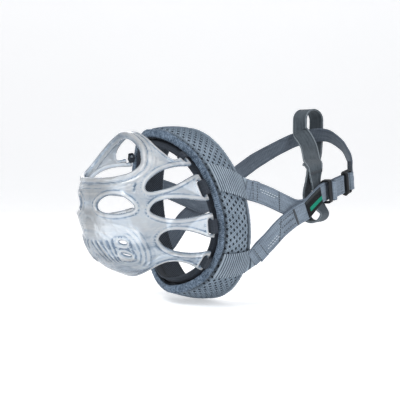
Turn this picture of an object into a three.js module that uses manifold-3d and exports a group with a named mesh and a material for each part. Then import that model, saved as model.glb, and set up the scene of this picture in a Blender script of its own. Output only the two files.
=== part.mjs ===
// Basket muzzle: clear silicone basket lashed to a padded snout band, with a
// Y strap on each side, an adjustable neck strap and a collar loop.
// Millimetres, +Z up, snout towards -Y, wearer's left towards +X.
import * as THREE from 'three';
import { mergeVertices } from 'three/addons/utils/BufferGeometryUtils.js';
import Module from 'manifold-3d';

const manifold = await Module();
manifold.setup();

const DEG = Math.PI / 180;
const { clamp, smoothstep } = THREE.MathUtils;
const vec = (point) => new THREE.Vector3(...point);

// -------------------------------------------------------- driving dimensions
const SKIN = 3.0;                 // basket wall thickness
const BASKET_CENTRE = [0, -24, -9];
const RIM_GAP = 3.0;              // basket's rear rim to the band's front edge
const WEB_WIDTH = 15;
const WEB_THICK = 1.6;

// Radius of the basket's mid wall from its centre. Rows: angle from the snout
// axis, every 8 degrees. Columns: elevation -90 (chin) to 90 (bridge), every 15.
const RADIUS_ROW_STEP = 8;
const RADIUS_COLUMN_STEP = 15;
const BASKET_RADIUS = [
  [73.0,73.0,72.9,72.9,72.8,72.8,72.9,73.0,73.0,73.0,73.0,73.0,73.0],
  [73.4,73.4,73.1,72.7,72.5,72.6,72.8,72.8,72.8,72.6,72.6,72.5,72.5],
  [72.6,72.5,71.9,70.8,70.4,71.0,71.9,72.4,72.7,72.8,73.0,73.2,73.4],
  [70.5,70.2,69.5,68.3,67.9,68.9,70.2,71.2,72.0,72.7,73.4,74.1,74.7],
  [66.9,66.8,66.5,66.0,66.0,66.9,67.9,69.0,70.3,71.7,73.0,74.4,75.6],
  [62.2,62.2,62.5,62.8,63.4,64.0,64.6,65.8,67.6,69.4,71.2,73.3,75.1],
  [57.3,57.5,58.2,58.9,59.6,60.0,60.6,62.0,63.9,65.9,68.0,70.6,72.9],
  [53.3,53.5,54.4,55.2,56.0,56.3,56.8,58.2,60.0,61.9,63.9,66.8,69.5],
  [50.7,51.0,51.9,52.6,53.1,53.2,53.6,54.9,56.4,57.9,59.7,62.7,65.6],
  [50.0,50.3,51.0,51.1,51.2,51.0,51.3,52.3,53.5,54.6,56.0,58.9,62.1],
  [50.8,51.1,51.4,50.8,50.3,49.8,49.8,50.6,51.6,52.5,53.5,56.2,59.4],
  [52.5,52.9,52.8,51.3,50.2,49.5,49.3,49.9,50.7,51.5,52.3,54.9,58.0],
  [54.7,55.0,54.6,52.7,51.2,50.1,49.7,50.2,51.0,52.0,52.6,55.0,58.1],
];

// Openings as [u, v] outlines in degrees from the snout axis: u towards +X, v up.
// Halves of openings on the centre line:
const NOSE = [
  [0,50],[7,49.5],[13,47.5],[20,43.5],[24.5,38.5],[27,34],
  [27.3,30],[25.5,26.5],[22,24],[16,22],[8,21.2],[0,21],
];
const TOP_NOTCH = [
  [0,58],[7,57.6],[14,56],[21,53.5],[26,51.2],[31,49],[36,47.2],[40.5,46],
  [43,47.5],[43.8,51],[42.5,56],[40,62],[37.8,67],[37,72],[37,86],[0,96],
];
const CHIN_NOTCH = [
  [0,-48],[10,-46.5],[20,-43.5],[28,-40.5],[35,-38],[40.5,-37.6],[45.5,-40],
  [50,-45],[53.5,-51],[55.5,-58],[56.5,-64],[58.5,-70],[62,-84],[0,-112],
];
// Whole openings on the wearer's left, repeated on the right:
const SIDE_OPENINGS = [
  [ // front
    [6.5,6.2],[8,8.4],[11,10.3],[14.5,11.5],[19,12.1],[23,11.8],[26.5,10.2],[29.5,8],
    [31,5.8],[29.5,4],[26,2.9],[22,2.1],[17,2],[11.5,2.7],[8,4],
  ],
  [ // upper side slot
    [35,18],[35,21.5],[36.5,25.5],[38.5,29.5],[41,33.5],[44,37.5],[48,42.5],[52,46.5],
    [55.5,50.3],[57,52.5],[59,56],[66,63],[74,51],[66.5,44.7],[62.5,42.5],[60,38.5],
    [57,33],[54,28.3],[50,23.5],[46,20.3],[42,18],[38.5,16.3],[36,16.5],
  ],
  [ // middle side slot
    [39,5],[40,7.5],[42,10],[45.5,12],[50,13.5],[57,14.8],[65,15.6],[73,16.3],
    [80,17.2],[85,18.5],[97,20.5],[97,4.4],[85,4.2],[80,2.8],[74,1],[66,-0.6],
    [58,-1.4],[51,-1],[45.5,0.3],[41.5,2],[39.5,3.5],
  ],
  [ // lower side slot
    [42.5,-15.5],[43.5,-13],[46,-11],[50,-10.2],[56,-10.8],[62,-12.8],[67,-15.5],
    [73,-19.5],[78,-24],[83,-27.5],[88,-30],[100,-34],[95,-54],[86,-49],[80,-45.5],
    [76,-44],[69,-42],[61,-38.3],[53,-32.2],[47.5,-26.5],[44,-21],
  ],
  // two small chin vents
  [[18.6,-14.2],[21,-13.8],[23.6,-15],[22.6,-16.4],[20,-16],[18.4,-15.4]],
  [[17.8,-21.4],[20.4,-21.6],[23.2,-23.6],[22.6,-25.2],[20,-24.4],[17.8,-22.8]],
];

// Bead round the nose opening; its path is the outline grown about NOSE_MID_V
const BEAD = { radius: 2.3, offWall: 0.9, grow: 1.6, minSpread: 12 };
const NOSE_MID_V = 36;

// Rim tabs on each side: elevation in degrees, slot half length. Each webbing
// loop clears the bar and the wall, and is inset from the slot's ends.
const SNUG = { clearBar: 0.85, clearWall: 1.45, inset: 1.4 };
const TABS = [
  { name: 'top', elevation: 52, half: 5.2, clearBar: 1.15, clearWall: 1.8, inset: 2.2 },
  { name: 'upper', elevation: 23, half: 6.2, ...SNUG },
  { name: 'lower', elevation: -8, half: 6.0, ...SNUG },
  { name: 'bottom', elevation: -40, half: 5.4, ...SNUG },
];
const TAB_SLOT = 2.8;             // slot width
const TAB_BAR = 2.2;              // wall left between slot and rim
const TAB_LOOP_HALF_THICK = 0.42;

// Padded band: front and rear edges of its outer face, as slightly egg-shaped ellipses
const BAND_FRONT = { halfWidth: 54.2, halfHeight: 59.4, z: -7.8, egg: 0.02 };
const BAND_REAR = {
  halfWidth: 54.7, halfHeight: 64.3, z: -10.7, egg: 0.02, y: 0.7, tilt: 0.15, saddle: 1.95,
};
// Front edge of the band, swept back at the sides: [elevation in degrees, y]
const BAND_FRONT_Y = [
  [-90,-30],[-70,-27],[-50,-22.6],[-30,-21],[-15,-21.6],[0,-24.4],
  [12,-27.4],[28,-31.3],[45,-35.8],[65,-42.3],[90,-47.8],
];
const BAND_BULGE = 2.7;
const BAND_SEGMENTS = 60;

// ---------------------------------------------------------- geometry helpers
// Welds vertices, drops collapsed triangles and turns the surface outwards.
function clean(source) {
  source.deleteAttribute('normal');
  source.deleteAttribute('uv');
  const indexed = source.index ? source : mergeVertices(source, 1e-5);
  const geometry = mergeVertices(indexed, 1e-4);
  const position = geometry.attributes.position;
  const index = geometry.index.array;
  const corner = (i) => new THREE.Vector3().fromBufferAttribute(position, i);
  const kept = [];
  let volume = 0;
  for (let i = 0; i < index.length; i += 3) {
    const [a, b, c] = [index[i], index[i + 1], index[i + 2]];
    if (a === b || b === c || a === c) continue;
    kept.push(a, b, c);
    volume += corner(a).dot(corner(b).cross(corner(c)));
  }
  if (volume < 0) {
    for (let i = 0; i < kept.length; i += 3) [kept[i], kept[i + 1]] = [kept[i + 1], kept[i]];
  }
  geometry.setIndex(kept);
  return geometry;
}
function toSolid(source) {
  const geometry = clean(source);
  return new manifold.Manifold(new manifold.Mesh({
    numProp: 3,
    vertProperties: new Float32Array(geometry.attributes.position.array),
    triVerts: new Uint32Array(geometry.index.array),
  }));
}
function fromSolid(solid) {
  const mesh = solid.getMesh();
  const points = new Float32Array(mesh.vertProperties);
  const geometry = new THREE.BufferGeometry();
  geometry.setAttribute('position', new THREE.BufferAttribute(points, 3));
  geometry.setIndex(Array.from(mesh.triVerts));
  return geometry;
}
// Moves every vertex v to place(v).
function reshape(geometry, place) {
  const position = geometry.attributes.position;
  const v = new THREE.Vector3();
  for (let i = 0; i < position.count; i++) {
    v.fromBufferAttribute(position, i);
    position.setXYZ(i, ...place(v).toArray());
  }
  return geometry;
}
const mirror = (geometry) => reshape(geometry.clone(), (v) => vec([-v.x, v.y, v.z]));

// Closed ring: profile points [a, b] swept round a loop by place(turn, a, b), turn 0..1.
function sweptRing(profile, segments, place) {
  const count = profile.length;
  const geometry = new THREE.TorusGeometry(10, 2, count, segments);
  for (let j = 0; j <= count; j++) {
    for (let i = 0; i <= segments; i++) {
      const point = place((i % segments) / segments, ...profile[j % count]);
      geometry.attributes.position.setXYZ(j * (segments + 1) + i, ...point.toArray());
    }
  }
  return geometry;
}
const stripProfile = (halfWidth, halfThick) => [
  [-halfWidth, -halfThick], [halfWidth, -halfThick], [halfWidth, halfThick], [-halfWidth, halfThick],
];
// Point on a unit circle squared off towards its corners.
function squaredCircle(turn) {
  const cos = Math.cos(turn * 2 * Math.PI);
  const sin = Math.sin(turn * 2 * Math.PI);
  const scale = Math.pow(Math.abs(cos) ** 4 + Math.abs(sin) ** 4, -0.25);
  return [cos * scale, sin * scale];
}

// Flat ribbon: frameAt(s) gives its centre, side and face directions for s in 0..1.
function ribbon(segments, width, thick, frameAt) {
  return reshape(new THREE.BoxGeometry(1, 1, 1, segments, 1, 1), (v) => {
    const { centre, side, face } = frameAt(v.x + 0.5);
    return centre.clone().addScaledVector(side, v.y * width).addScaledVector(face, v.z * thick);
  });
}
const webbing = (segments, frameAt) => ribbon(segments, WEB_WIDTH, WEB_THICK, frameAt);

// Unit vector nearest to the given one, square to the tangent.
const squareTo = (tangent, v) => (
  v.clone().addScaledVector(tangent, -v.dot(tangent)).normalize()
);
// Ribbon frames along a curve, facing an outward hint that may change along it.
function curveFrame(curve, hintAt) {
  return (s) => {
    const tangent = curve.getTangent(s).normalize();
    const face = squareTo(tangent, hintAt(s));
    const side = new THREE.Vector3().crossVectors(face, tangent).normalize();
    return { centre: curve.getPoint(s), side, face };
  };
}
const smoothCurve = (points) => (
  new THREE.CatmullRomCurve3(points.map(vec), false, 'centripetal')
);

// ------------------------------------------------------------- interpolation
// Catmull-Rom from b to c.
function cubic([a, b, c, d], t) {
  return b + 0.5 * t * (c - a + t * (2 * a - 5 * b + 4 * c - d + t * (3 * (b - c) + d - a)));
}
// Smooth interpolation in [x, y] rows, level at both ends.
function tableAt(table, x) {
  const last = table.length - 1;
  let k = 1;
  while (k < last && x > table[k][0]) k++;
  const [x0, y0] = table[k - 1];
  const [x1, y1] = table[k];
  const step = x1 - x0;
  const t = (x - x0) / step;
  const slope = (i) => {
    if (i <= 0 || i >= last) return 0;
    return (table[i + 1][1] - table[i - 1][1]) / (table[i + 1][0] - table[i - 1][0]);
  };
  const m0 = slope(k - 1) * step;
  const m1 = slope(k) * step;
  const t2 = t * t;
  const t3 = t2 * t;
  return (2 * t3 - 3 * t2 + 1) * y0 + (t3 - 2 * t2 + t) * m0
    + (3 * t2 - 2 * t3) * y1 + (t3 - t2) * m1;
}
// Elevation in degrees, -90..90, of a direction turned round the snout axis from +X.
const elevationOf = (around) => Math.asin(Math.sin(around)) / DEG;
const bandFrontY = (around) => tableAt(BAND_FRONT_Y, elevationOf(around));

// ------------------------------------------------------------- basket places
// A direction is (angle, around): angle from the snout axis, and turn about
// that axis from +X towards +Z, both in radians.
function basketRadius(angle, around) {
  const lastRow = BASKET_RADIUS.length - 1;
  const lastColumn = BASKET_RADIUS[0].length - 1;
  const row = clamp(angle / DEG / RADIUS_ROW_STEP, 0, lastRow - 0.001);
  const column = clamp((elevationOf(around) + 90) / RADIUS_COLUMN_STEP, 0, lastColumn - 0.001);
  const row0 = Math.floor(row);
  const column0 = Math.floor(column);
  const acrossRows = [];
  for (let k = -1; k < 3; k++) {
    const radii = BASKET_RADIUS[clamp(row0 + k, 0, lastRow)];
    const near = [];
    for (let m = -1; m < 3; m++) {
      const n = Math.abs(column0 + m);
      near.push(radii[n > lastColumn ? 2 * lastColumn - n : n]);
    }
    acrossRows.push(cubic(near, column - column0));
  }
  return cubic(acrossRows, row - row0);
}
function fromCentre(angle, around, radius) {
  return vec([
    BASKET_CENTRE[0] + Math.sin(angle) * Math.cos(around) * radius,
    BASKET_CENTRE[1] - Math.cos(angle) * radius,
    BASKET_CENTRE[2] + Math.sin(angle) * Math.sin(around) * radius,
  ]);
}
const onWall = (angle, around, offset = 0) => (
  fromCentre(angle, around, basketRadius(angle, around) + offset)
);
const direction = (u, v) => [Math.hypot(u, v) * DEG, Math.atan2(v, u)];

// Angle from the snout axis at which the wall ends, found by iteration.
function rimAngle(around) {
  let angle = 85 * DEG;
  for (let k = 0; k < 8; k++) {
    const { x, z } = onWall(angle, around);
    const bandTurn = Math.atan2((z - BAND_FRONT.z) / BAND_FRONT.halfHeight, x / BAND_FRONT.halfWidth);
    const depth = BASKET_CENTRE[1] - (bandFrontY(bandTurn) - RIM_GAP);
    angle = Math.acos(clamp(depth / basketRadius(angle, around), -1, 1));
  }
  return angle;
}
// Frame in the middle of the rim end at a tab, on the side of X given by sideSign:
// axes along the rim, along the wall to the rear, and outwards.
function tabFrame(elevation, sideSign) {
  const around = sideSign < 0 ? Math.PI - elevation * DEG : elevation * DEG;
  const angle = rimAngle(around);
  const end = onWall(angle, around);
  const back = end.clone().sub(onWall(angle - 0.06, around)).normalize();
  const next = around + 0.05;
  const along = onWall(rimAngle(next), next).sub(end).normalize();
  const out = new THREE.Vector3().crossVectors(along, back).normalize();
  if (out.dot(end.clone().sub(vec(BASKET_CENTRE))) < 0) out.negate();
  const rear = new THREE.Vector3().crossVectors(out, along).normalize();
  if (rear.dot(back) < 0) rear.negate();
  return (a, b, c) => (
    end.clone().addScaledVector(along, a).addScaledVector(rear, b).addScaledVector(out, c)
  );
}

// -------------------------------------------------------------------- basket
// Solid bounded by the mid wall moved outwards by offset.
function wallSolid(offset) {
  return toSolid(reshape(new THREE.SphereGeometry(1, 60, 34), (v) => {
    const angle = Math.acos(clamp(-v.y / v.length(), -1, 1));
    return onWall(angle, Math.atan2(v.z, v.x), offset);
  }));
}
// Everything in front of the rear rim: a wide cap, closed by a small core behind it.
function frontRegion() {
  const columns = 72;
  const rows = 14;
  const capRows = 9;
  const capRadius = 190;
  const coreRadius = 12;
  const geometry = new THREE.SphereGeometry(1, columns, rows);
  for (let j = 0; j <= rows; j++) {
    for (let i = 0; i <= columns; i++) {
      const around = (i % columns) / columns * 2 * Math.PI;
      const rim = rimAngle(around);
      const inCap = j <= capRows;
      const angle = inCap
        ? rim * j / capRows
        : rim + (Math.PI - rim) * (j - capRows - 1) / (rows - capRows - 1);
      const point = fromCentre(angle, around, inCap ? capRadius : coreRadius);
      geometry.attributes.position.setXYZ(j * (columns + 1) + i, ...point.toArray());
    }
  }
  return toSolid(geometry);
}
// Outline carried radially through the wall.
function openingCutter(outline) {
  const innerRadius = 18;
  const outerRadius = 260;
  const shape = new THREE.Shape(outline.map(([u, v]) => new THREE.Vector2(u, v)));
  const geometry = new THREE.ExtrudeGeometry(shape, { depth: 1, steps: 1, bevelEnabled: false });
  return toSolid(reshape(geometry, (v) => (
    fromCentre(...direction(v.x, v.y), innerRadius + (outerRadius - innerRadius) * v.z)
  )));
}
const flip = (outline) => outline.map(([u, v]) => [-u, v]);
const whole = (half) => half.concat(flip(half.slice().reverse().filter(([u]) => u > 0)));

function noseBead() {
  const path = whole(NOSE).map(([u, v]) => {
    const rise = v - NOSE_MID_V;
    const scale = 1 + BEAD.grow / Math.max(BEAD.minSpread, Math.hypot(u, rise));
    return onWall(...direction(u * scale, NOSE_MID_V + rise * scale), BEAD.offWall);
  });
  const curve = new THREE.CatmullRomCurve3(path, true, 'centripetal');
  const profile = [...Array(8)].map((_, k) => [
    Math.cos(k * Math.PI / 4) * BEAD.radius, Math.sin(k * Math.PI / 4) * BEAD.radius,
  ]);
  return sweptRing(profile, 56, (turn, a, b) => {
    const centre = curve.getPointAt(turn);
    const tangent = curve.getTangentAt(turn);
    const out = squareTo(tangent, centre.clone().sub(vec(BASKET_CENTRE)));
    const across = new THREE.Vector3().crossVectors(tangent, out);
    return centre.addScaledVector(out, a).addScaledVector(across, b);
  });
}
function tabSlotCutter({ elevation, half }, sideSign) {
  const place = tabFrame(elevation, sideSign);
  const box = new THREE.BoxGeometry(2 * half, TAB_SLOT, 12);
  return toSolid(reshape(box, (v) => place(v.x, v.y - TAB_BAR - TAB_SLOT / 2, v.z)));
}
function makeBasket() {
  let basket = wallSolid(SKIN / 2).subtract(wallSolid(-SKIN / 2)).intersect(frontRegion());
  for (const half of [NOSE, TOP_NOTCH, CHIN_NOTCH]) {
    basket = basket.subtract(openingCutter(whole(half)));
  }
  for (const outline of SIDE_OPENINGS) {
    basket = basket.subtract(openingCutter(outline)).subtract(openingCutter(flip(outline)));
  }
  basket = basket.add(toSolid(noseBead()));
  for (const tab of TABS) {
    for (const sideSign of [1, -1]) basket = basket.subtract(tabSlotCutter(tab, sideSign));
  }
  return fromSolid(basket);
}
// Short webbing loop round a tab's end bar, through its slot.
function tabLoop({ elevation, half, clearBar, clearWall, inset }, sideSign) {
  const place = tabFrame(elevation, sideSign);
  const profile = stripProfile(half - inset, TAB_LOOP_HALF_THICK);
  return sweptRing(profile, 20, (turn, a, b) => {
    const [x, y] = squaredCircle(turn);
    const back = -TAB_BAR / 2 + x * (TAB_BAR / 2 + clearBar + b);
    return place(a, back, y * (SKIN / 2 + clearWall + b));
  });
}

// --------------------------------------------------------------- padded band
function bandEdge({ halfWidth, halfHeight, z, egg }, around, y) {
  const sin = Math.sin(around);
  return vec([halfWidth * Math.cos(around) * (1 - egg * sin), y, z + halfHeight * sin]);
}
// across: 0 at the front edge, 1 at the rear; depth: inwards from the outer face.
function bandPoint(around, across, depth) {
  const { y, halfHeight, tilt, saddle } = BAND_REAR;
  const rearY = y - halfHeight * Math.sin(around) * tilt + saddle * Math.cos(2 * around);
  const front = bandEdge(BAND_FRONT, around, bandFrontY(around));
  const rear = bandEdge(BAND_REAR, around, rearY);
  const normal = vec([Math.cos(around) / 53, 0, Math.sin(around) / 62]).normalize();
  const bulge = BAND_BULGE * Math.pow(Math.sin(Math.PI * clamp(across, 0, 1)), 0.6);
  return front.lerp(rear, across).addScaledVector(normal, bulge - depth);
}
const bandRing = (profile) => sweptRing(profile, BAND_SEGMENTS, (turn, across, depth) => (
  bandPoint(turn * 2 * Math.PI, across, depth)
));
// Layer of the band between two depths.
function bandLayer(outer, inner) {
  const stations = [0.10, 0.24, 0.40, 0.60, 0.76, 0.92];
  return bandRing([
    ...stations.map((across) => [across, outer]),
    ...stations.slice().reverse().map((across) => [across, inner]),
  ]);
}
// Edge trims as [across, depth] profiles
const HEM = [
  [0.0, 0.4], [0.045, -0.3], [0.085, 0.2], [0.085, 5.2], [0.045, 5.8], [0.0, 5.0], [-0.02, 2.8],
];
const REAR_BINDING = [
  [0.935, 0.3], [0.97, -0.3], [1.0, 0.4], [1.015, 2.8], [1.0, 5.2], [0.97, 5.9], [0.935, 5.4],
];
const RIM_WEBBING = [[-0.05, 9.0], [0.26, 8.2], [0.26, 9.3], [-0.05, 10.1]];

// Elastic lying on the band's outer face, front to rear; turns in degrees.
const ELASTIC = { front: 0.13, rear: 0.99, lift: 1.25, thick: 1.6, bandRadius: 57 };
function elasticAnchor({ frontTurn, rearTurn, frontWidth, rearWidth }) {
  const { front, rear, lift, thick, bandRadius } = ELASTIC;
  return reshape(new THREE.BoxGeometry(1, 1, 1, 9, 4, 1), (v) => {
    const s = v.x + 0.5;
    const width = frontWidth + (rearWidth - frontWidth) * s;
    const turn = (frontTurn + (rearTurn - frontTurn) * s) * DEG;
    const across = front + (rear - front) * s;
    return bandPoint(turn - v.y * width / bandRadius, across, -lift - v.z * thick);
  });
}
const UPPER_ANCHOR = { frontTurn: 25, rearTurn: 18.5, frontWidth: 19, rearWidth: 16.5 };
const LOWER_ANCHOR = { frontTurn: -37, rearTurn: -29.5, frontWidth: 20, rearWidth: 17 };

// ------------------------------------------------------- Y strap, wearer's left
const UPPER_ARM = [[54.6, 3.6, 8.0], [55.6, 14, 5.5], [56.0, 30, -0.5], [56, 50.2, -7.6]];
const LOWER_ARM = [
  [52.6, 10.5, -36.6], [55.8, 18, -28.8], [58.2, 29, -18.4], [58.3, 40, -11.2], [58.3, 50.2, -7.7],
];
const ARM_TACK = [[59.9, 39.3, -13.1], [59.9, 41.7, -13.7]];
const sideFrame = (points) => curveFrame(smoothCurve(points), () => vec([1, 0.05, 0]));

// ---------------------------------------------------------------- neck strap
// Ends of the straight run of the left strap that carries the slide
const RUN_START = vec([51.2, 79.5, 4.9]);
const RUN_END = vec([38.4, 117.0, 11.9]);
const RUN_LENGTH = RUN_START.distanceTo(RUN_END);
const runDirection = RUN_END.clone().sub(RUN_START).normalize();
const runLine = new THREE.LineCurve3(RUN_START, RUN_END);
const run = curveFrame(runLine, () => vec([1, 0.4, 0.02]))(0.5);
// Point by distance along the run, across the strap and out from its middle.
const runPoint = (along, across, out) => (
  RUN_START.clone().addScaledVector(runDirection, along)
    .addScaledVector(run.side, across).addScaledVector(run.face, out)
);
const runFrame = (from, to) => (
  curveFrame(new THREE.LineCurve3(runPoint(...from), runPoint(...to)), () => run.face)
);

const leftPath = smoothCurve([
  [60.7, 46.5, -9.4], [60.4, 52, -7.6], [57.8, 61, -3.0], [54.6, 70, 1.2],
  RUN_START.toArray(), [44.2, 100, 8.75], RUN_START.clone().lerp(RUN_END, 0.94).toArray(),
]);
const leftFrame = curveFrame(leftPath, (s) => vec([1, 0.05 + 0.42 * s, 0.02]));

const rightPath = smoothCurve([
  [-60.6, 46.5, -7.6], [-60.4, 52, -7.4], [-57.5, 72, 10], [-50.5, 95, 27.5],
  [-43.5, 110, 37.5], [-30, 134, 50.5], [-12, 149, 54], [4, 153, 43.5],
  [14.5, 148.5, 32], [25.5, 140, 19.5],
]);
// Turns the right strap's face from sideways to rearwards and up, then level again.
function rightHint(s) {
  const { x, y } = rightPath.getPoint(s);
  const rearward = 0.9 * (y - 95) * clamp(s * 2.2 - 0.25, 0, 1) + 3;
  const upward = 46 * smoothstep(s, 0.3, 0.55) * (1 - smoothstep(s, 0.62, 1));
  return vec([x, rearward, upward]).normalize();
}

const DOUBLED_OUT = 2.2;          // second webbing layer, out from the first
const FITTING_OUT = DOUBLED_OUT / 2;
// Fittings: width across the strap by height, outside and hole
const SLIDE = { outer: [20, 8.2], hole: [16.2, 5.0], length: 4.6, corner: 1.6, at: 10.0 };
const RING = { outer: [20, 12.4], hole: [16, 7.2], length: 2.4, corner: 2, at: RUN_LENGTH + 8.4 };
const RING_BAR = (RING.outer[1] + RING.hole[1]) / 4;   // ring's middle to a bar's middle
const FOLD = { halfWidth: 7.4, halfThick: 0.7, halfLength: 2.35, halfHeight: 2.3 };

// Rounded rectangle with a rectangular hole, extruded along +Z.
function rectangularFrame({ outer, hole, length, corner }) {
  const [w, h] = [outer[0] / 2, outer[1] / 2];
  const [x, y] = [w - corner, h - corner];
  const shape = new THREE.Shape();
  shape.moveTo(-x, -h);
  shape.lineTo(x, -h);
  shape.absarc(x, -y, corner, -Math.PI / 2, 0);
  shape.lineTo(w, y);
  shape.absarc(x, y, corner, 0, Math.PI / 2);
  shape.lineTo(-x, h);
  shape.absarc(-x, y, corner, Math.PI / 2, Math.PI);
  shape.lineTo(-w, -y);
  shape.absarc(-x, -y, corner, Math.PI, 1.5 * Math.PI);
  const [a, b] = [hole[0] / 2, hole[1] / 2];
  const corners = [[-a, -b], [-a, b], [a, b], [a, -b], [-a, -b]];
  shape.holes.push(new THREE.Path(corners.map((point) => new THREE.Vector2(...point))));
  return new THREE.ExtrudeGeometry(shape, {
    depth: length, steps: 1, bevelEnabled: false, curveSegments: 4,
  });
}
const adjusterSlide = () => reshape(rectangularFrame(SLIDE), (v) => (
  runPoint(SLIDE.at + v.z, v.x, FITTING_OUT + v.y)
));
// Rectangular ring joining the two halves, lying in the strap's plane
const joiningRing = () => reshape(rectangularFrame(RING), (v) => (
  runPoint(RING.at + v.y, v.x, FITTING_OUT + v.z - RING.length / 2)
));
// Webbing loop round one bar of the joining ring.
function foldLoop(along) {
  return sweptRing(stripProfile(FOLD.halfWidth, FOLD.halfThick), 22, (turn, a, b) => {
    const [x, y] = squaredCircle(turn);
    return runPoint(along + x * (FOLD.halfLength + b), a, FITTING_OUT + y * (FOLD.halfHeight + b));
  });
}
const endTab = () => ribbon(4, 6, 1.4, runFrame(
  [RUN_LENGTH + 14.6, 10.8, FITTING_OUT], [RUN_LENGTH + 15.4, 16, FITTING_OUT],
));
const wovenLabel = () => ribbon(6, 12.6, 0.6, (s) => {
  const { centre, side, face } = leftFrame(0.13 + 0.29 * s);
  return { centre: centre.addScaledVector(face, 1.45), side, face };
});

// --------------------------------------------------------------- collar loop
const COLLAR = { halfWidth: 7.3, halfThick: 0.65, minHalfGap: 1.25, endRound: 0.085 };
const collarPath = smoothCurve([
  [43.6, 82.2, -17.5], [42.2, 81.4, -9], [43.2, 77.4, 4], [43.6, 77.6, 14], [40.6, 82.0, 23.5],
  [14, 106.5, 30.5], [-10.5, 129, 38], [-21.5, 138.5, 50], [-23.5, 140.5, 63], [-23.5, 140.7, 76.5],
]);
// Frame on the middle line between the two layers, moved by offset along its face.
function collarFrame(s, offset) {
  const tangent = collarPath.getTangent(s).normalize();
  const hint = vec([-0.309, 0.952, 0.1]).lerp(vec([0.982, 0.184, 0]), smoothstep(s, 0.22, 0.8));
  const side = squareTo(tangent, hint);
  const face = new THREE.Vector3().crossVectors(side, tangent).normalize();
  return { centre: collarPath.getPoint(s).addScaledVector(face, offset), side, face };
}
// Half distance between the layers.
const collarHalfGap = (s) => (
  COLLAR.minHalfGap + 2.2 * (1 - smoothstep(s, 0.03, 0.13))
    + 3.4 * (1 - smoothstep(s, 0.24, 0.45)) + 11.8 * smoothstep(s, 0.57, 0.75)
);
// Closed strip: one layer up the path, round its top, the other layer back down.
function collarStrip() {
  const count = 92;
  const half = count / 2;
  const frames = [];
  for (let i = 0; i < count; i++) {
    const goingUp = i < half;
    const s = goingUp ? i / half : 1 - (i - half) / half;
    const fromEnd = Math.min(1, Math.min(s, 1 - s) / COLLAR.endRound);
    const rounding = Math.sqrt(1 - Math.pow(1 - fromEnd, 2));
    frames.push(collarFrame(s, (goingUp ? 1 : -1) * collarHalfGap(s) * rounding));
  }
  return sweptRing(stripProfile(COLLAR.halfWidth, COLLAR.halfThick), count, (turn, a, b) => {
    const i = Math.round(turn * count) % count;
    const { centre, side } = frames[i];
    const previous = frames[(i + count - 1) % count].centre;
    const tangent = frames[(i + 1) % count].centre.clone().sub(previous).normalize();
    const across = squareTo(tangent, side);
    const out = new THREE.Vector3().crossVectors(across, tangent).normalize();
    return centre.clone().addScaledVector(across, a).addScaledVector(out, b);
  });
}
const collarTack = () => ribbon(2, 12.5, 0.5, (s) => (
  collarFrame(0.53 + 0.02 * s, COLLAR.minHalfGap + COLLAR.halfThick + 0.6)
));

// ------------------------------------------------------------------ assembly
const LOOKS = {
  clear: { color: 0xd5dee6, roughness: 0.18, transparent: true, opacity: 0.45 },
  mesh: { color: 0x5c6b78, roughness: 0.9 },
  dark: { color: 0x20252c, roughness: 0.9 },
  foam: { color: 0x2b2f36, roughness: 1 },
  web: { color: 0x6a7785, roughness: 0.85 },
  elastic: { color: 0x66737f, roughness: 0.8 },
  black: { color: 0x101214, roughness: 0.35 },
  label: { color: 0x14171a, roughness: 0.8 },
  loop: { color: 0x4b545d, roughness: 0.85 },
  thread: { color: 0x3d464f, roughness: 0.9 },
};
const group = new THREE.Group();
const holder = new THREE.Group();
group.add(holder);

function add(name, source, look) {
  const geometry = clean(source);
  geometry.computeVertexNormals();
  const material = new THREE.MeshStandardMaterial({ metalness: 0, ...LOOKS[look] });
  const mesh = new THREE.Mesh(geometry, material);
  mesh.name = name;
  holder.add(mesh);
}
function addPair(name, left, look) {
  add(`${name}_left`, left, look);
  add(`${name}_right`, mirror(left), look);
}

add('silicone_basket', makeBasket(), 'clear');
for (const tab of TABS) {
  add(`tab_loop_${tab.name}_left`, tabLoop(tab, 1), 'dark');
  add(`tab_loop_${tab.name}_right`, tabLoop(tab, -1), 'dark');
}
add('rim_webbing', bandRing(RIM_WEBBING), 'dark');
add('front_hem_binding', bandRing(HEM), 'web');
add('band_mesh_cover', bandLayer(0, 1.1), 'mesh');
add('band_foam_core', bandLayer(1.5, 5.6), 'foam');
add('band_lining', bandLayer(6.0, 7.2), 'dark');
add('rear_edge_binding', bandRing(REAR_BINDING), 'dark');
addPair('elastic_anchor_upper', elasticAnchor(UPPER_ANCHOR), 'elastic');
addPair('elastic_anchor_lower', elasticAnchor(LOWER_ANCHOR), 'elastic');
addPair('y_strap_upper', webbing(10, sideFrame(UPPER_ARM)), 'web');
addPair('y_strap_lower', webbing(12, sideFrame(LOWER_ARM)), 'web');
addPair('bar_tack', ribbon(2, 12, 0.5, sideFrame(ARM_TACK)), 'thread');
add('neck_strap_left', webbing(26, leftFrame), 'web');
add('neck_strap_right', webbing(52, curveFrame(rightPath, rightHint)), 'web');
const doubledRun = runFrame([11.2, 0, DOUBLED_OUT], [RUN_LENGTH - 2.4, 0, DOUBLED_OUT]);
add('neck_strap_doubled_run', webbing(4, doubledRun), 'web');
add('adjuster_slide', adjusterSlide(), 'black');
add('joining_ring', joiningRing(), 'black');
add('left_end_fold', foldLoop(RING.at - RING_BAR), 'web');
add('right_end_fold', foldLoop(RING.at + RING_BAR), 'web');
add('webbing_end_tab', endTab(), 'web');
add('collar_loop_strip', collarStrip(), 'loop');
add('collar_loop_bar_tack', collarTack(), 'thread');
add('woven_label', wovenLabel(), 'label');

// Origin: middle of the bounding box, at its lowest level
const box = new THREE.Box3().setFromObject(holder);
holder.position.set(-(box.min.x + box.max.x) / 2, -(box.min.y + box.max.y) / 2, -box.min.z);
export default group;
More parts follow.
